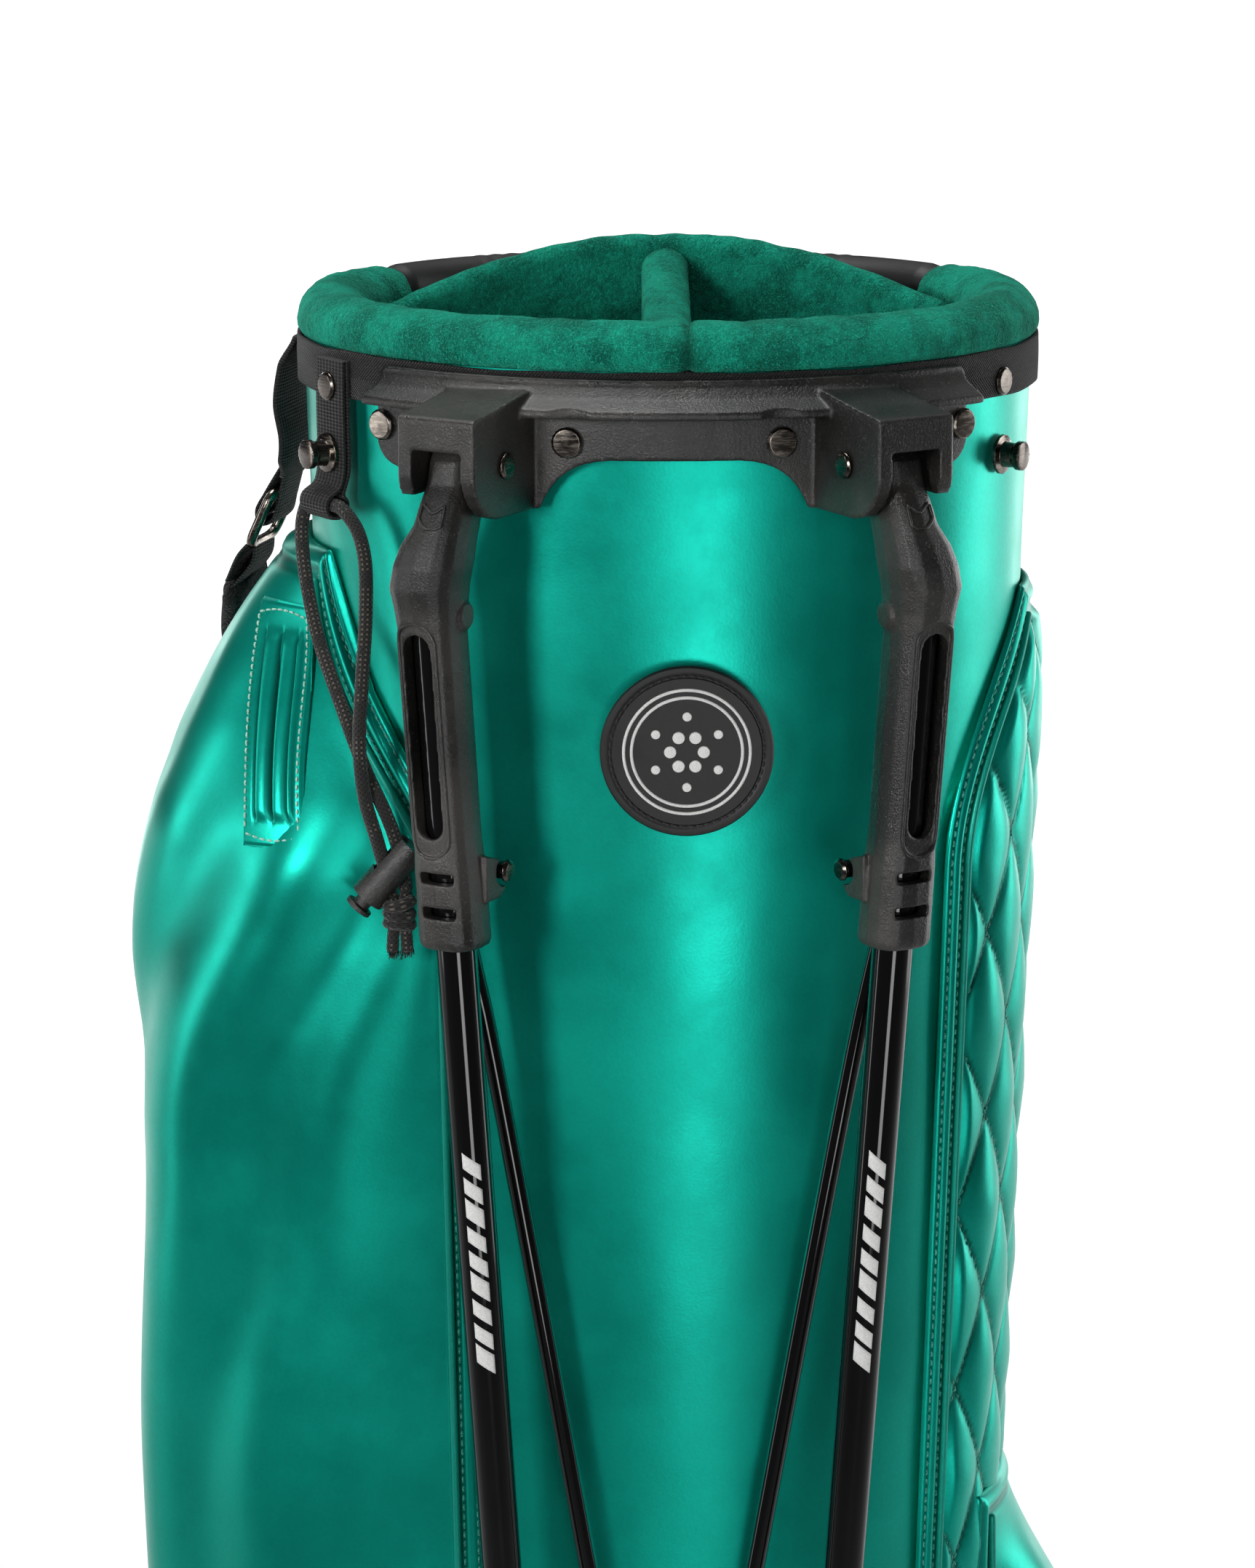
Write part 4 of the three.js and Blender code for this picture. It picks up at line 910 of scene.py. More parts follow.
def quilt_stitches():
    shape = Shape()
    low, high = PADS["quilted"][:2]
    pitch = STITCH_PITCH
    length = math.hypot(QUILT["width"], QUILT["height"]) / 2
    for family in (0, 1):
        for line in range(-14, 18):
            steps = int(60 * length / pitch)
            for i in range(-steps, steps):
                # Along one family of seams p stays whole while q runs, and the other way round.
                run = (i + 0.5) * pitch / length
                p, q = (line, run) if family == 0 else (run, line)
                x = QUILT["width"] * (p + q) / 2
                y = QUILT["height"] * (p - q) / 2
                z = QUILT["z"] + y
                if not low < z < high:
                    continue
                angle = QUILT["angle"] + math.degrees((x + QUILT["lean"] * y) / MEAN_RADIUS)
                if min(edge_distances("quilted", angle, z)) < BORDER["end"] + 1.2:
                    continue
                here = pad_point("quilted", angle, z)
                normal = inner_normal("quilted", angle, z)
                centre = here + normal * (quilted_surface(angle, z)[0] + 0.28)
                ahead_x, ahead_y = QUILT["width"] / 2, (family - 0.5) * QUILT["height"]
                turn = math.degrees((ahead_x + QUILT["lean"] * ahead_y) / MEAN_RADIUS) * 0.05
                ahead = pad_point("quilted", angle + turn, z + ahead_y * 0.05)
                add_stitch(shape, centre, ahead - here, normal, 2.3, 0.7, 0.42)
    border_stitches(shape, "quilted", length=2.3, width=0.75, height=0.45)
    finish_piece(shape, "quilted_stitches", THREAD)


quilt_stitches()
border_piping("quilted", 1.25, 0.35)


# ---- Garment pocket ----
def garment_folds(angle, z):
    place = Vector((angle * CLOTH_DEGREE, z * 0.8, 0))
    soft = 1.1 * ripple(place, 95, 5) + 0.4 * ripple(place, 38, 9)
    sag = 1.6 * bump(z, 232, 26) - 1.2 * bump(z, 300, 40)
    # The fabric stands in one long fold that runs from under the patch down to the outer side.
    fold_angle = 214 - 17 * ramp(z, 730, 600) - 8 * ramp(z, 600, 480)
    fold = 4.5 * bump(angle, fold_angle, 6.5) - 5.0 * bump(angle, fold_angle - 13, 6.5)
    second = 2.2 * bump(angle, fold_angle + 17, 5) - 2.0 * bump(angle, fold_angle + 9, 4.5)
    calm = ramp(z, 300, 470) * (1 - ramp(z, 700, 745))
    crumple = 0.8 * ripple(Vector((angle * 1.2, z * 1.5, 4)), 24, 12) * bump(z, 715, 40)
    return soft + sag + (fold + second) * calm + crumple


def garment_surface(angle, z):
    first, last, below, above = edge_distances("garment", angle, z)
    nearest = min(first, last / edge_stretch("garment", 1, z), below, above)
    inside = ramp(nearest, 9, 22)
    return bordered(nearest, inside, garment_folds(angle, z) * inside, 0.0)


make_pad("garment", "garment_bag", "garment_pocket", garment_surface, 0.9, 2.4, back_size=(13, 13))
border_piping("garment", 1.3, 0.5)
garment_stitches = Shape()
border_stitches(garment_stitches, "garment", length=2.4, width=0.8, height=0.5)
finish_piece(garment_stitches, "garment_stitches", THREAD)


# ---- Ball pocket and hip pad ----
def ball_surface(angle, z):
    nearest = min(edge_distances("ball", angle, z))
    place = Vector((angle * CLOTH_DEGREE, z, 0))
    inside = ramp(nearest, 9, 20)
    folds = 1.1 * ripple(place, 60, 21) + 0.4 * ripple(place, 24, 25)
    return bordered(nearest, inside, folds * inside, 0.0)


make_pad("ball", "ball_bag", "ball_pocket", ball_surface, 0.9, 2.0)
border_piping("ball", 1.3, 0.5)


HIP_CHANNEL = 60  # between the sewn channels across the hip pad


def hip_surface(angle, z):
    nearest = min(edge_distances("hip", angle, z))
    channels_up = (z - PADS["hip"][0]) / HIP_CHANNEL
    channel = min(abs(channels_up - round(channels_up)) * HIP_CHANNEL, 14)
    inside = ramp(nearest, 8, 16)
    groove = -2.4 * (1 - ramp(channel, 0, 9)) * inside
    # Painted shade in the middle of each sewn channel across the pad.
    return bordered(nearest, inside, groove, 0.6 * (1 - ramp(channel, 0, 1.4)) * inside)


hip_piece = make_pad("hip", "hip_cushion", "hip_pad", hip_surface, 0.9, 1.6, 12)


# ---- Body shell ----
def body_ripple(angle, z):
    place = Vector((math.cos(math.radians(angle)) * 110, math.sin(math.radians(angle)) * 95, z * 0.7))
    calm = ramp(z, BODY_FOOT, 110) * (1 - ramp(z, 800, 850))
    return (0.55 * ripple(place, 70, 2) + 0.22 * ripple(place, 26, 6)) * calm


def body_panel():
    shape = Shape()
    heights = spread(BODY_FOOT, BAND["high"], 250)
    angles = [1.5 * j for j in range(240)]
    outer = [[body_point(a, z, body_ripple(a, z) - 0.2) for a in angles] for z in heights]
    inner = [[body_point(a, z, -BODY_WALL) for a in angles] for z in reversed(heights[::10])]
    shape.grid(outer + inner, wrap=True, loop=True)
    finish_piece(shape, "body_skin", GREEN, "body_shell", crease=70)


body_panel()


# ---- Cuff: plush roll, inner walls and the rear grip ----
def roll_section(half, crest, outer_low, inner_low):
    """Offsets and heights round a soft roll, from its outer foot over the top to its inner foot."""
    centre = crest - half
    section = [(3.8, outer_low), (half - 1.2, outer_low + 0.2), (half - 0.2, outer_low + 1.6)]
    for degrees in spread(0, 180, 15):
        t = math.radians(degrees)
        section.append((half * math.cos(t) * (1 + 0.05 * math.sin(t)), centre + half * math.sin(t)))
    section += [(-half + 0.6, inner_low + 3), (-half + 2.4, inner_low), (-3.8, inner_low)]
    return section + [(-3.8, CORE_TOP), (3.8, CORE_TOP)]


def densify(section, step):
    found = []
    for (a, b), (c, d) in zip(section, section[1:] + section[:1]):
        count = max(1, round(math.hypot(c - a, d - b) / step))
        found += [(a + (c - a) * k / count, b + (d - b) * k / count) for k in range(count)]
    return found


def soft_roll(name, profile, start, end, steps, material, slot, replaced, bulge):
    """A roll along the cuff from one angle to another. profile is what roll_section takes."""
    half, crest = profile[:2]
    section = densify(roll_section(*profile), 1.3)
    rows, painted_shades = [], []
    for angle in spread(start, end, steps):
        row, shade_row = [], []
        ending = ramp(min(angle - start, end - angle), 0, 3)
        for offset, z in section:
            point = oval_point(CUFF, angle, z, offset)
            middle = oval_point(CUFF, angle, crest - half)
            away = (point - middle).normalized()
            free = 1.0 if abs(offset) > 4 or z > CORE_TOP + 0.2 else 0.0
            swell, painted_shade = bulge(angle, offset, z, point)
            row.append(point + away * (swell * free - 1.2 * (1 - ending) * free))
            shade_row.append(painted_shade * free)
        rows.append(row)
        painted_shades.append(shade_row)
    shape = Shape()
    shape.skin(rows, painted_shades)
    return finish_piece(shape, name, material, replaced)


SEAM_ANGLE = -88
RIM_PROFILE = (11, 881, 866.4, 852)  # half width, crest, outer foot and inner foot
GRIP_PROFILE = (9, 880, 868, 858)


def plush_bulge(angle, offset, z, point):
    soft = 0.8 * ripple(point, 34, 2) + 0.55 * ripple(point, 11, 5) + 0.3 * ripple(point, 4, 8)
    seam = bump(angle if angle < 180 else angle - 360, SEAM_ANGLE, 0.8)
    foot = ramp(z, BAND["high"], BAND["high"] + 4) if offset > 0 else 1.0
    # The second value is painted shade in the dent where the cuff's seam pinches the roll.
    return soft * foot - 1.6 * seam, 0.75 * seam


rim = soft_roll(
    "plush_cuff", RIM_PROFILE, GRIP_ANGLES[1] + 0.3, GRIP_ANGLES[0] + 359.7, 420,
    PLUSH, "plush_green", "cuff_plush_rim", plush_bulge,
)


def grip_bulge(angle, offset, z, point):
    ribs = 0.25 * math.cos(math.radians(angle) * 110) * ramp(abs(angle - 90), 38, 34)
    hold = ramp(min(angle - GRIP_ANGLES[0], GRIP_ANGLES[1] - angle), 1.5, 5)
    return 0.55 * ribs * hold, 0.0


soft_roll(
    "rear_grip", GRIP_PROFILE, *GRIP_ANGLES, 320, RUBBER, "rubber_black", "rear_handle_grip", grip_bulge
)


def wall_rows(line, half_thick, shoulder):
    """Cross-sections of an upright padded wall whose plan line gives (place, across, top)."""
    rows = []
    for place, across, top in line:
        section = [(half_thick, WALL_FOOT), (half_thick, top - shoulder)]
        for degrees in spread(15, 165, 9):
            t = math.radians(degrees)
            section.append((half_thick * math.cos(t) * 0.97, top - shoulder + shoulder * math.sin(t)))
        section += [(-half_thick, top - shoulder), (-half_thick, WALL_FOOT)]
        rows.append([place + across * offset + UP * z for offset, z in densify(section, 1.6)])
    return rows


def padded_wall(name, line, half_thick, shoulder, replaced):
    rows = wall_rows(line, half_thick, shoulder)
    count = min(len(row) for row in rows)
    rings = []
    for row in rows:
        even = resample_ring(row, count)
        middle = sum(even, Vector()) / count
        ring = []
        for p in even:
            away = (p - middle).normalized()
            ring.append(p + UP * 0.5 * ripple(p, 18, 3) + away * 0.5 * ripple(p, 7, 9))
        rings.append(ring)
    shape = Shape()
    shape.skin(rings)
    finish_piece(shape, name, PLUSH, replaced)


def resample_ring(points, count):
    """Points spaced evenly round a closed ring."""
    lengths = distances(points, True)
    ring = points + [points[0]]
    found, k = [], 0
    for i in range(count):
        goal = lengths[-1] * i / count
        while lengths[k + 1] < goal:
            k += 1
        share = (goal - lengths[k]) / max(1e-9, lengths[k + 1] - lengths[k])
        found.append(ring[k].lerp(ring[k + 1], clamp(share)))
    return found


def back_wall_line():
    """A wall that bows towards the back, between the two sides of the cuff."""
    line = []
    for share in spread(-1, 1, 120):
        along = Vector((90, -78 * share, 0)).normalized()
        across = Vector((-along.y, along.x, 0))
        line.append((Vector((90 * share, 53 - 39 * share * share, 0)), across, 890.2 - 18 * share * share))
    return line


def divider_line():
    """From the back wall to the front, its top dropping as the cuff's opening does."""
    stations = [(48, 885.6), (30, 879.6), (0, 872.6), (-40, 867.6), (-78, 866.6)]
    line = []
    for y in spread(48, -78, 84):
        for (y1, t1), (y2, t2) in zip(stations, stations[1:]):
            if y2 <= y <= y1:
                top = t1 + (t2 - t1) * (y1 - y) / (y1 - y2)
        line.append((Vector((0, y, 0)), Vector((1, 0, 0)), top))
    return line


padded_wall("back_wall_plush", back_wall_line(), 4, 4, "back_wall")
padded_wall("divider_plush", divider_line(), 7.8, 6, "centre_divider")


# ---- Twill band ----
def twill_band():
    shape = Shape()
    section = [(BAND["inner"], BAND["low"]), (BAND["outer"] - 0.3, BAND["low"])]
    for share in spread(0, 1, 9):
        z = BAND["low"] + 0.3 + (BAND["high"] - BAND["low"] - 0.6) * share
        section.append((BAND["outer"] + 0.15 * math.sin(math.pi * share), z))
    section += [(BAND["outer"] - 0.3, BAND["high"]), (BAND["inner"], BAND["high"])]
    pair = halves(BAND["high"])
    rows = []
    for j in range(240):
        angle = 1.5 * j
        wave = 0.25 * math.sin(math.radians(angle * 7)) + 0.2 * math.sin(math.radians(angle * 19))
        rows.append([oval_point(pair, angle, z + wave, offset) for offset, z in section])
    shape.grid(rows, wrap=True, loop=True)
    finish_piece(shape, "band_twill", TWILL, "twill_band", crease=50)


twill_band()


# ---- Webbing loop that holds the cord ----
def webbing_loop():
    outward = body_normal(LOOP_ANGLE)
    base = body_point(LOOP_ANGLE, BAND["high"])

    def at(out, z):
        return Vector((base.x, base.y, 0)) + outward * out + UP * z

    front = [at(4.6, 863.4), at(4.7, 850), at(4.6, 838), at(4.7, 828.5), at(6.2, 823.5)]
    round_eye = []
    for degrees in spread(70, -230, 13):
        t = math.radians(degrees)
        round_eye.append(at(EYE_OUT + 4.0 * math.cos(t), EYE_HEIGHT + 4.0 * math.sin(t)))
    back = [at(2.9, 828), at(2.9, 846), at(2.9, 863.4)]
    line = curve_through(front + round_eye + back, 110)
    shape = Shape()
    add_ribbon(shape, line, faces_along(line, LOOP_ACROSS), 16, 1.5, 0.35)
    finish_piece(shape, "cord_loop", WEBBING, "webbing_loop", crease=50)


webbing_loop()


# ---- Welted patch on the garment pocket ----
SLOT = {"low": 709, "high": 782}
SLOT_BARS = ((0.36, 0.125), (0.645, 0.125), (0.83, 0.05))  # middle and half width, as shares
SLOT_SLITS = ((0.215, 0.03), (0.5, 0.034), (0.775, 0.02))


def slot_height(v):
    return SLOT["low"] + (SLOT["high"] - SLOT["low"]) * v


def slot_angle(share, v):
    """The patch stands upright, so its angle round the body grows towards its foot."""
    start = 205.9 - 3.7 * v - 12.2 * v * v
    end = 213.5 - 7.8 * v - 4.4 * v * v
    return start + (end - start) * share


def slot_patch():
    shape = Shape()
    rows, painted_shades = [], []
    heights = spread(SLOT["low"], SLOT["high"], 80)
    for z in heights:
        row, shade_row = [], []
        v = (z - SLOT["low"]) / (SLOT["high"] - SLOT["low"])
        for share in spread(0, 1, 96):
            angle = slot_angle(share, v)
            rim = min(share * 20, (1 - share) * 20, z - SLOT["low"], SLOT["high"] - z)
            inside = ramp(min(v, 1 - v), 0.1, 0.17)
            rolls = sum(math.sqrt(max(0.0, 1 - ((share - middle) / half) ** 2)) for middle, half in SLOT_BARS)
            gaps = sum(bump(share, middle, width) for middle, width in SLOT_SLITS)
            height = 1.6 + ramp(rim, 0, 1) + inside * 1.5 * (rolls - gaps)
            row.append(pad_point("garment", angle, z, height))
            # Painted shade in the slits between the welts.
            shade_row.append(clamp(1.4 * inside * gaps))
        rows.append(row)
        painted_shades.append(shade_row)

    def back_at(v, u):
        return pad_point("garment", slot_angle(u, v), slot_height(v), 1.7)

    closed_sheet(shape, rows, back_at, (4, 4), painted_shades)
    finish_piece(shape, "slot_welts", GREEN, "slot_patch")

    def bow(share):
        return 0.03 * (1 - math.sin(math.pi * share))

    outline = [(share, 0.035 + bow(share)) for share in spread(0.07, 0.93, 14)]
    outline += [(0.93, v) for v in spread(0.08, 0.92, 30)]
    outline += [(share, 0.965 - bow(share)) for share in spread(0.93, 0.07, 14)]
    outline += [(0.07, v) for v in spread(0.92, 0.08, 30)]
    points, normals = [], []
    for share, v in outline:
        place = (slot_angle(share, v), slot_height(v))
        points.append(pad_point("garment", *place, 2.9))
        normals.append(pad_normal("garment", *place))
    stitches = Shape()
    stitch_line(stitches, points, normals, 2.6, length=2.0, width=0.75, height=0.5)
    finish_piece(stitches, "slot_stitches", THREAD_PALE)


slot_patch()


# ---- Round rubber badge with a plain pattern ----
BADGE_PLACE = (-88, 748.5, 0.6)  # angle, height and distance out
BADGE_PROFILE = [
    (0, 0), (26.4, 0), (27, 0.5), (27, 1.3), (26.5, 2.0), (25.4, 2.2), (24.6, 2.1), (24.2, 1.8),
    (23.6, 1.8), (23.2, 2.2), (21, 2.25), (12, 2.3), (0, 2.3),
]


def badge():
    middle = body_point(*BADGE_PLACE) + Vector((0, -3, 0))
    outward = Vector((0, -1, 0))

    def at(out, reach, t):
        return middle + outward * out + Vector((reach * math.cos(t), 0, reach * math.sin(t)))

    shape = Shape()
    add_lathe(shape, BADGE_PROFILE, middle, outward, 96)
    finish_piece(shape, "badge_disc", RUBBER, "round_patch", crease=40)

    raised = Shape()
    for ring_radius in (17.2, 19.6):
        path = [at(2.3, ring_radius, t) for t in turns(96)]
        add_tube(raised, path, 0.5, 8, closed=True)
    for k in range(6):
        for reach, size in ((5.2, 2.0), (11.2, 1.5)):
            t = math.pi * (k / 3 + (0.5 if reach > 8 else 0) / 3)
            dot = [(0, 0), (size, 0), (size * 0.9, 0.6), (0, 0.8)]
            add_lathe(raised, dot, at(2.1, reach, t), outward, 20)
    finish_piece(raised, "badge_pattern", WHITE, crease=40)

    stitches = Shape()
    path = [at(1.95, 23.9, t) for t in spread(0, 2 * math.pi, 181)]
    stitch_line(stitches, path, [outward] * len(path), 2.6, length=2.0, width=0.7, height=0.4)
    finish_piece(stitches, "badge_stitches", THREAD_BLACK)


badge()


# ---- Zips ----
def zip_frame(pad, angle, low, high):
    sideways = pad_point(pad, angle + 1, low) - pad_point(pad, angle - 1, low)
    foot, head = pad_point(pad, angle, low), pad_point(pad, angle, high)
    along = (head - foot).normalized()
    outward = sideways.cross(along).normalized()
    foot += outward * ZIP_LIFT
    head += outward * ZIP_LIFT
    return foot, head, along, outward, along.cross(outward).normalized()


def add_block(shape, centre, axes, size, soft=0.35):
    """A box with softened corners, built as rings of a rounded outline."""
    (ax, ay, az), (sx, sy, sz) = axes, size
    rings = []
    for w, shrink in ((0, soft), (soft, 0), (sz - soft, 0), (sz, soft)):
        ring = []
        for t in turns(24, 0.5):
            u, v = squared(t, 0.35, 0.35)
            ring.append(centre + ax * (u * (sx / 2 - shrink)) + ay * (v * (sy / 2 - shrink)) + az * w)
        rings.append(ring)
    shape.skin(rings)


def make_zip(name):
    foot, head, along, outward, across = zip_frame(*ZIPS[name])
    length = (head - foot).length
    tape = Shape()
    line = [foot + along * length * share + outward * 0.6 for share in spread(0, 1, 60)]
    add_ribbon(tape, line, [outward] * len(line), 13, 1.0, 0.3)
    for i in range(int(length / 2.2)):
        side = 1 if i % 2 else -1
        spot = foot + along * (1.5 + 2.2 * i) + across * (0.9 * side) + outward * 1.0
        if (spot - foot).dot(along) < length - 2:
            add_block(tape, spot, (across, along, outward), (3.4, 1.2, 0.9), 0.2)
    finish_piece(tape, f"{name}_zip_tape", WEBBING, f"{name}_zip", crease=50)

    at = head - along * 8 + outward * 1.8
    slider = Shape()
    add_block(slider, at, (across, along, outward), (7.6, 10.6, 2.6), 0.6)
    foot_of_bridge = at + outward * 2.2
    bridge = [foot_of_bridge - along * 3.6, at + outward * 4.1, foot_of_bridge + along * 3.6]
    add_tube(slider, curve_through(bridge, 12), 1.0, 10)
    finish_piece(slider, f"{name}_zip_body", METAL, f"{name}_zip_slider", f"{name}_slider", 40)
    pull_at = at + outward * 5.5 - along * 15
    line = [pull_at + along * reach for reach in spread(-15.5, 15.5, 24)]
    pull = Shape()
    add_ribbon(pull, line, [outward] * len(line), lambda share: 4.8 - 1.2 * ramp(share, 0.7, 1.0), 1.3, 0.35)
    finish_piece(pull, f"{name}_zip_tab", WEBBING, f"{name}_zip_pull", f"{name}_pull", 50)


for zip_name in ZIPS:
    make_zip(zip_name)


# ---- Carrying straps ----
STRAPS = {  # side, angle at the cuff, and the shoulder's (angle, height, distance out)
    "left": (-1, 166, [(166, 780, 30.5), (160, 760, 35), (146, 735, 38), (129, 700, 42)]),
    "right": (1, 50, [(50, 780, 30.5), (50, 760, 35), (52, 735, 38), (57, 700, 42)]),
}
STRAP_HANG = [(80, 136, 620), (72, 132, 530), (66, 112, 450), (62, 90, 396)]  # down to the hip pad
BUCKLE_TOP = (812, 13)  # height and distance out from the body
BUCKLE_FOOT = (788, 25)
WEBBING_STATIONS = [(861, 4.4), (852, 7), (840, 9), (828, 7.6), (820, 8.6), (814, 11.4)]


def tangent_at(angle):
    return UP.cross(body_normal(angle))


def strap_taper(share):
    """A strap's width narrows towards both ends."""
    return 0.55 + 0.45 * arch(share, 0.18)


def carrying_strap(hand):
    """The stitched pad, then its webbing with a loop at each end of the buckle, then the buckle."""
    side, angle, shoulder = STRAPS[hand]
    points = [body_point(*spot) for spot in shoulder]
    points += [Vector((side * x, y, z)) for x, y, z in STRAP_HANG]
    path = curve_through(points, 120)
    first, last = tangent_at(angle), Vector((-1, 0.35 * side, 0))
    rows, stitches = [], Shape()
    runs = {-1: [], 1: []}
    facing = []
    for i, (centre, along) in enumerate(zip(path, directions(path))):
        share = i / (len(path) - 1)
        wide = first.lerp(last, min(1, 2 * share))
        outward = wide.cross(along).normalized()
        across = along.cross(outward).normalized()
        half_width, half_thick = 26 * strap_taper(share), 6.5 * strap_taper(share)
        ring = []
        for t in turns(44):
            u, v = squared(t, 0.55, 0.75)
            seam = 1 - 0.42 * bump(abs(u), 0.8, 0.06)
            spot = centre + across * (u * half_width) + outward * (v * half_thick * seam)
            ring.append(spot + outward * 0.5 * ripple(spot, 22, 4) * v)
        rows.append(ring)
        facing.append(outward)
        for edge in (-1, 1):
            runs[edge].append(centre + across * (edge * 0.8 * half_width) + outward * (half_thick * 0.5))
    shape = Shape()
    shape.skin(rows)
    pad = finish_piece(shape, f"strap_pad_{hand}", STRAP, f"shoulder_strap_{hand}")
    for edge in (-1, 1):
        stitch_line(stitches, runs[edge], facing, 3.4, length=2.5, width=0.8, height=0.5)
    finish_piece(stitches, f"strap_stitches_{hand}", THREAD_BLACK)

    tape = Shape()
    path = curve_through([body_point(angle, z, out) for z, out in WEBBING_STATIONS], 60)
    across = tangent_at(angle)
    add_ribbon(tape, path, faces_along(path, across), lambda share: 40 * strap_taper(share), 2.4, 0.5)
    top, bottom = body_point(angle, *BUCKLE_TOP), body_point(angle, *BUCKLE_FOOT)
    down = (bottom - top).normalized()
    proud = down.cross(across).normalized()
    middle = (top + bottom) / 2
    upper_loop = [path[-1] - (path[-1] - path[-4]) * 0.6]
    upper_loop += [middle - down * 7.5 - proud * 2.2, middle - down * 1.0 - proud * 3.1, middle + down * 2.6]
    upper_loop += [middle - down * 1.0 + proud * 3.1, middle - down * 8 + proud * 2.8, path[-6] + proud * 2.0]
    pad_end = body_point(*shoulder[0]) + down * 3
    lower_loop = [pad_end - proud * 1.5, bottom + down * 1.5 - proud * 2.6, bottom - down * 4.2]
    lower_loop += [bottom + down * 1.5 + proud * 2.6, pad_end + proud * 1.5]
    for corners in (upper_loop, lower_loop):
        line = curve_through(corners, 60)
        add_ribbon(tape, line, faces_along(line, across), 19, 1.3, 0.3)
    finish_piece(tape, f"strap_tape_{hand}", WEBBING, f"strap_webbing_{hand}", crease=50)

    frame_path = []
    for t in turns(64):
        u, v = squared(t, 0.4, 0.4)
        frame_path.append(middle + across * (u * 12.2) + down * (v * 10.2))
    buckle = Shape()
    add_tube(buckle, frame_path, 1.7, 12, closed=True)
    add_tube(buckle, [middle + across * reach for reach in spread(-12, 12, 10)], 1.3, 10)
    finish_piece(buckle, f"strap_frame_{hand}", METAL, f"strap_buckle_{hand}")


for hand in STRAPS:
    carrying_strap(hand)


# ---- Plain printed marks on the leg tubes ----
LEG_TOP = (73.6, -116, 789)  # where a folded leg's axis starts under its socket, for the right leg
LEG_FOOT = (29, -112, 70)
TUBE_RADIUS = 6.35


def leg_axis(z, side):
    share = (z - LEG_FOOT[2]) / (LEG_TOP[2] - LEG_FOOT[2])
    x, y = [low + (high - low) * share for low, high in zip(LEG_FOOT[:2], LEG_TOP[:2])]
    return Vector((side * x, y, z))


def printed_mark(side, hand):
    """A column of slanting bars, a hair above the tube's paint."""
    shape = Shape()
    radius = TUBE_RADIUS + 0.06
    up = (leg_axis(600, side) - leg_axis(500, side)).normalized()
    facing = Vector((0, -1, 0))
    facing = (facing - up * facing.dot(up)).normalized()
    across = facing.cross(up)
    for i in range(9):
        foot = 554 + 8.0 * i
        tall = 5.2 if i % 3 else 6.4
        rows = []
        for v in spread(0, 1, 5):
            row = []
            for u in spread(-1, 1, 9):
                turn = math.radians(26 * u)
                z = foot + tall * v + 2.2 * u
                centre = leg_axis(z, side)
                row.append(centre + (facing * math.cos(turn) + across * math.sin(turn)) * radius)
            rows.append(row)

        def back_at(v, u, rows=rows):
            point = rows[round(v * 4)][round(u * 8)]
            centre = leg_axis(point.z, side)
            return centre + (point - centre) * ((radius - 0.05) / radius)

        closed_sheet(shape, rows, back_at, (5, 9))
    finish_piece(shape, f"leg_mark_{hand}", WHITE, body=f"leg_{hand}")


for hand, side in SIDES.items():
    printed_mark(side, hand)


# ---- Raised lines moulded on the leg sockets ----
LEG_YAW = math.radians(30)
RIM_HEIGHT = 757
CRESCENT_HEIGHT = 839
CRESCENTS = ((5.4, 8.0), (8.2, 14.0))  # half width and drop


def leg_local(z, side, across, outward, up=0.0):
    """A point by its distances across and outward from a leg's axis; side is -1 or 1."""
    lean = leg_axis(z + 1, side) - leg_axis(z, side)
    sideways = Vector((math.cos(LEG_YAW), -math.sin(LEG_YAW), 0)) * across
    away = Vector((-math.sin(LEG_YAW), -math.cos(LEG_YAW), 0)) * outward
    offset = sideways + away
    return leg_axis(z, side) + Vector((-side * offset.x, offset.y, 0)) + lean * up


def pill(half_height, half_width):
    """A long outline with round ends."""
    outline = []
    straight = half_height - half_width
    for t in turns(96):
        u, v = half_width * math.cos(t), half_width * math.sin(t)
        outline.append((u, v + math.copysign(straight, v)))
    return outline


def socket_lines(side, hand):
    """A long rim down the socket's face and two crescents above it, laid on its own surface."""
    shape = Shape()
    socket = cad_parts[f"leg_socket_{hand}"]
    to_socket = socket.matrix_world.inverted()

    def on_socket(aim):
        found, place, normal, _ = socket.closest_point_on_mesh(to_socket @ (aim * MM))
        if not found:
            raise ValueError(f"leg_socket_{hand} has no surface there")
        return socket.matrix_world @ (place + normal * 0.1 * MM) / MM

    rim = [on_socket(leg_local(RIM_HEIGHT, side, u - 1, 9.2, v)) for u, v in pill(36.6, 7.0)]
    add_tube(shape, rim, 0.6, 8, closed=True)
    for half_width, drop in CRESCENTS:
        crescent = []
        for t in spread(0.12 * math.pi, 0.88 * math.pi, 28):
            across = 6 + half_width * math.cos(t)
            aim = leg_local(CRESCENT_HEIGHT, side, across, 12, -drop * math.sin(t))
            crescent.append(on_socket(aim))
        add_tube(shape, crescent, 0.5, 8)
    finish_piece(shape, f"socket_lines_{hand}", MOULDING, body=f"leg_{hand}")


for hand, side in SIDES.items():
    socket_lines(side, hand)


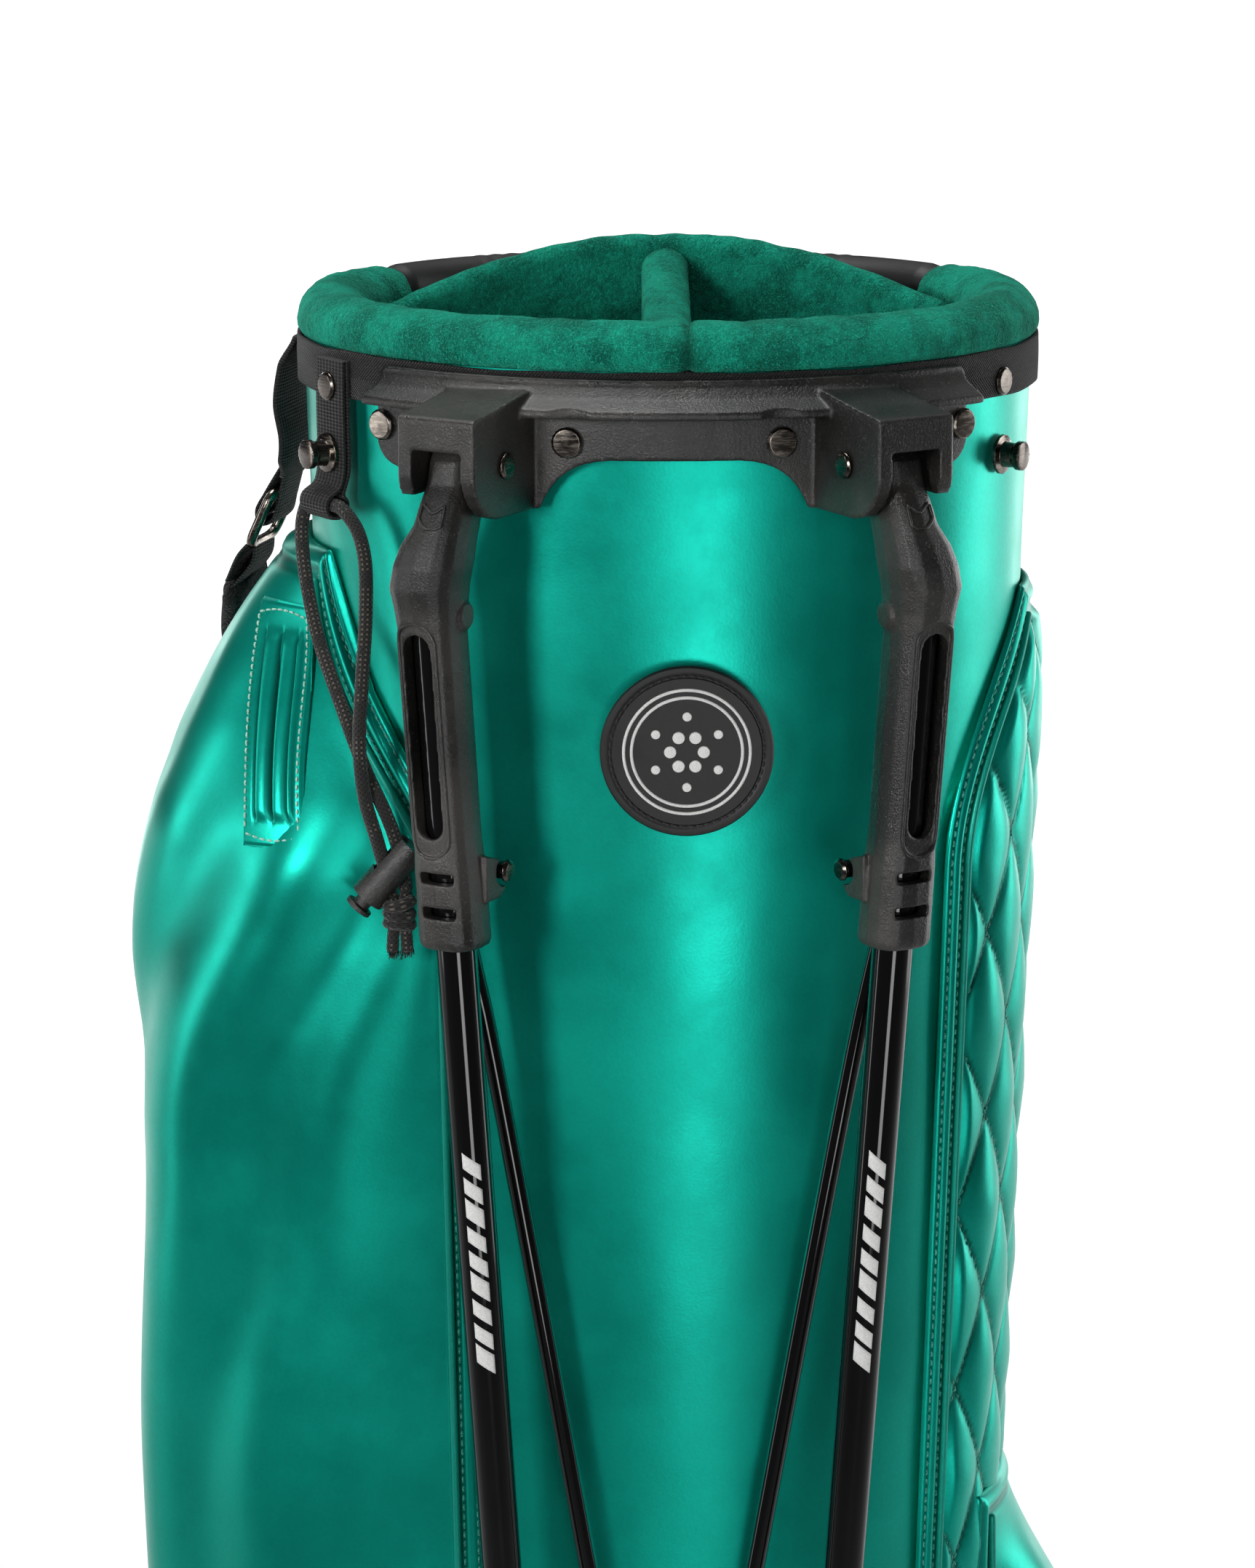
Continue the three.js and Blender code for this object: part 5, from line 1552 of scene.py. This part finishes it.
# ---- Carried-over hard parts ----
def dress(node, material, bevel=0.35, voxel=None, crease=32):
    """Gives a frame part its material and softened edges, and leaves its mesh alone."""
    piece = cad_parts[node]
    mesh = piece.data
    for name in ("custom_normal", "sharp_edge", "sharp_face"):
        if name in mesh.attributes:
            mesh.attributes.remove(mesh.attributes[name])
    mesh.shade_smooth()
    for slot in piece.material_slots:
        slot.material = material
    weld = piece.modifiers.new("weld", "WELD")
    weld.merge_threshold = 0.00002
    if voxel:
        remesh = piece.modifiers.new("remesh", "REMESH")
        remesh.mode = "VOXEL"
        remesh.voxel_size = voxel * MM
        remesh.use_smooth_shade = True
        smooth = piece.modifiers.new("smooth", "SMOOTH")
        smooth.factor = 0.5
        smooth.iterations = 6
    else:
        soften = piece.modifiers.new("bevel", "BEVEL")
        soften.width = bevel * MM
        soften.segments = 3
        soften.limit_method = "ANGLE"
        soften.angle_limit = math.radians(crease)
        soften.harden_normals = True
    return piece


dress("top_bracket", MOULDING, voxel=0.6)
dress("cuff_ring", MOULDING)
dress("base_boot", MOULDING, 1.2)
dress("base_actuator", MOULDING, 0.8)
dress("actuator_hinge_pin", METAL)
dress("cord_lock_barrel", MOULDING, 0.5)
dress("cord_lock_plunger", MOULDING, 0.4)
METAL_BEVELS = {
    "rod_retainer": 0.2,
    "pivot_pin": 0.3,
    "bracket_rivet": 0.2,
    "tab_rivet": 0.2,
    "cap_rivet": 0.25,
    "snap_stud": 0.25,
}
for hand in SIDES:
    dress(f"leg_socket_{hand}", MOULDING, voxel=0.55)
    dress(f"leg_tube_{hand}", GLOSS, 0.15, crease=60)
    dress(f"actuator_rod_{hand}", GLOSS, 0.15, crease=75)
    dress(f"stay_rod_{hand}", GLOSS, 0.2, crease=60)
    dress(f"leg_foot_{hand}", RUBBER, 0.6)
    for node, bevel in METAL_BEVELS.items():
        dress(f"{node}_{hand}", METAL, bevel)


# ---- Floor and light ----
def floor():
    shape = Shape()
    half = 40000
    for x, y in ((-half, -half), (half, -half), (half, half), (-half, half)):
        shape.add(Vector((x, y, 0)))
    shape.face([0, 1, 2, 3])
    mesh = bpy.data.meshes.new("floor")
    mesh.from_pydata([p * MM for p in shape.points], [], shape.faces)
    n = Nodes("floor_pale")
    n.set(Base_Color=(0.86, 0.86, 0.86, 1), Roughness=0.9, Specular_IOR_Level=0.1)
    mesh.materials.append(n.material)
    piece = bpy.data.objects.new("floor", mesh)
    bpy.context.scene.collection.objects.link(piece)


floor()


def softbox(name, place, target, width, height, power, spread_angle=70):
    """A rectangular lamp in metres and watts, aimed at a target."""
    data = bpy.data.lights.new(name, "AREA")
    data.shape = "RECTANGLE"
    data.size = width
    data.size_y = height
    data.energy = power
    data.spread = math.radians(spread_angle)
    light = bpy.data.objects.new(name, data)
    light.location = place
    light.rotation_euler = (Vector(target) - Vector(place)).to_track_quat("-Z", "Y").to_euler()
    bpy.context.scene.collection.objects.link(light)


AIM = (0, 0, 0.72)
softbox("key_low", (0.29, -1.75, 0.27), (0, 0, 0.6), 0.5, 0.5, 0.72)
softbox("key_high", (0.16, -1.75, 0.95), AIM, 0.85, 0.86, 0.8)
softbox("left_front", (-1.0, -1.45, 1.1), (0.04, 0, 0.72), 0.3, 0.6, 0.9, 40)
softbox("left_box", (-1.9, -0.15, 0.9), AIM, 0.4, 1.8, 1.8)
softbox("right_box", (1.8, 0.5, 0.9), AIM, 0.8, 1.8, 2.8)
softbox("top_box", (-0.25, 0.15, 2.4), (0, 0, 0.85), 0.8, 0.8, 3.2)
softbox("rear_left", (-1.0, 1.9, 1.0), AIM, 0.3, 1.6, 0.8)
softbox("rear_right", (1.2, 1.7, 1.0), AIM, 0.5, 1.6, 1.4)
softbox("floor_wash", (0, 8.6, 1.7), (0, 8.6, 0), 12.6, 15.8, 930, 110)

world = bpy.data.worlds.new("studio")
world.use_nodes = True
sky = world.node_tree.nodes["Background"]
sky.inputs["Color"].default_value = (0.95, 0.97, 1.0, 1)
sky.inputs["Strength"].default_value = 0.045
bpy.context.scene.world = world
bpy.context.scene.view_settings.view_transform = "Standard"
bpy.context.scene.view_settings.look = "None"
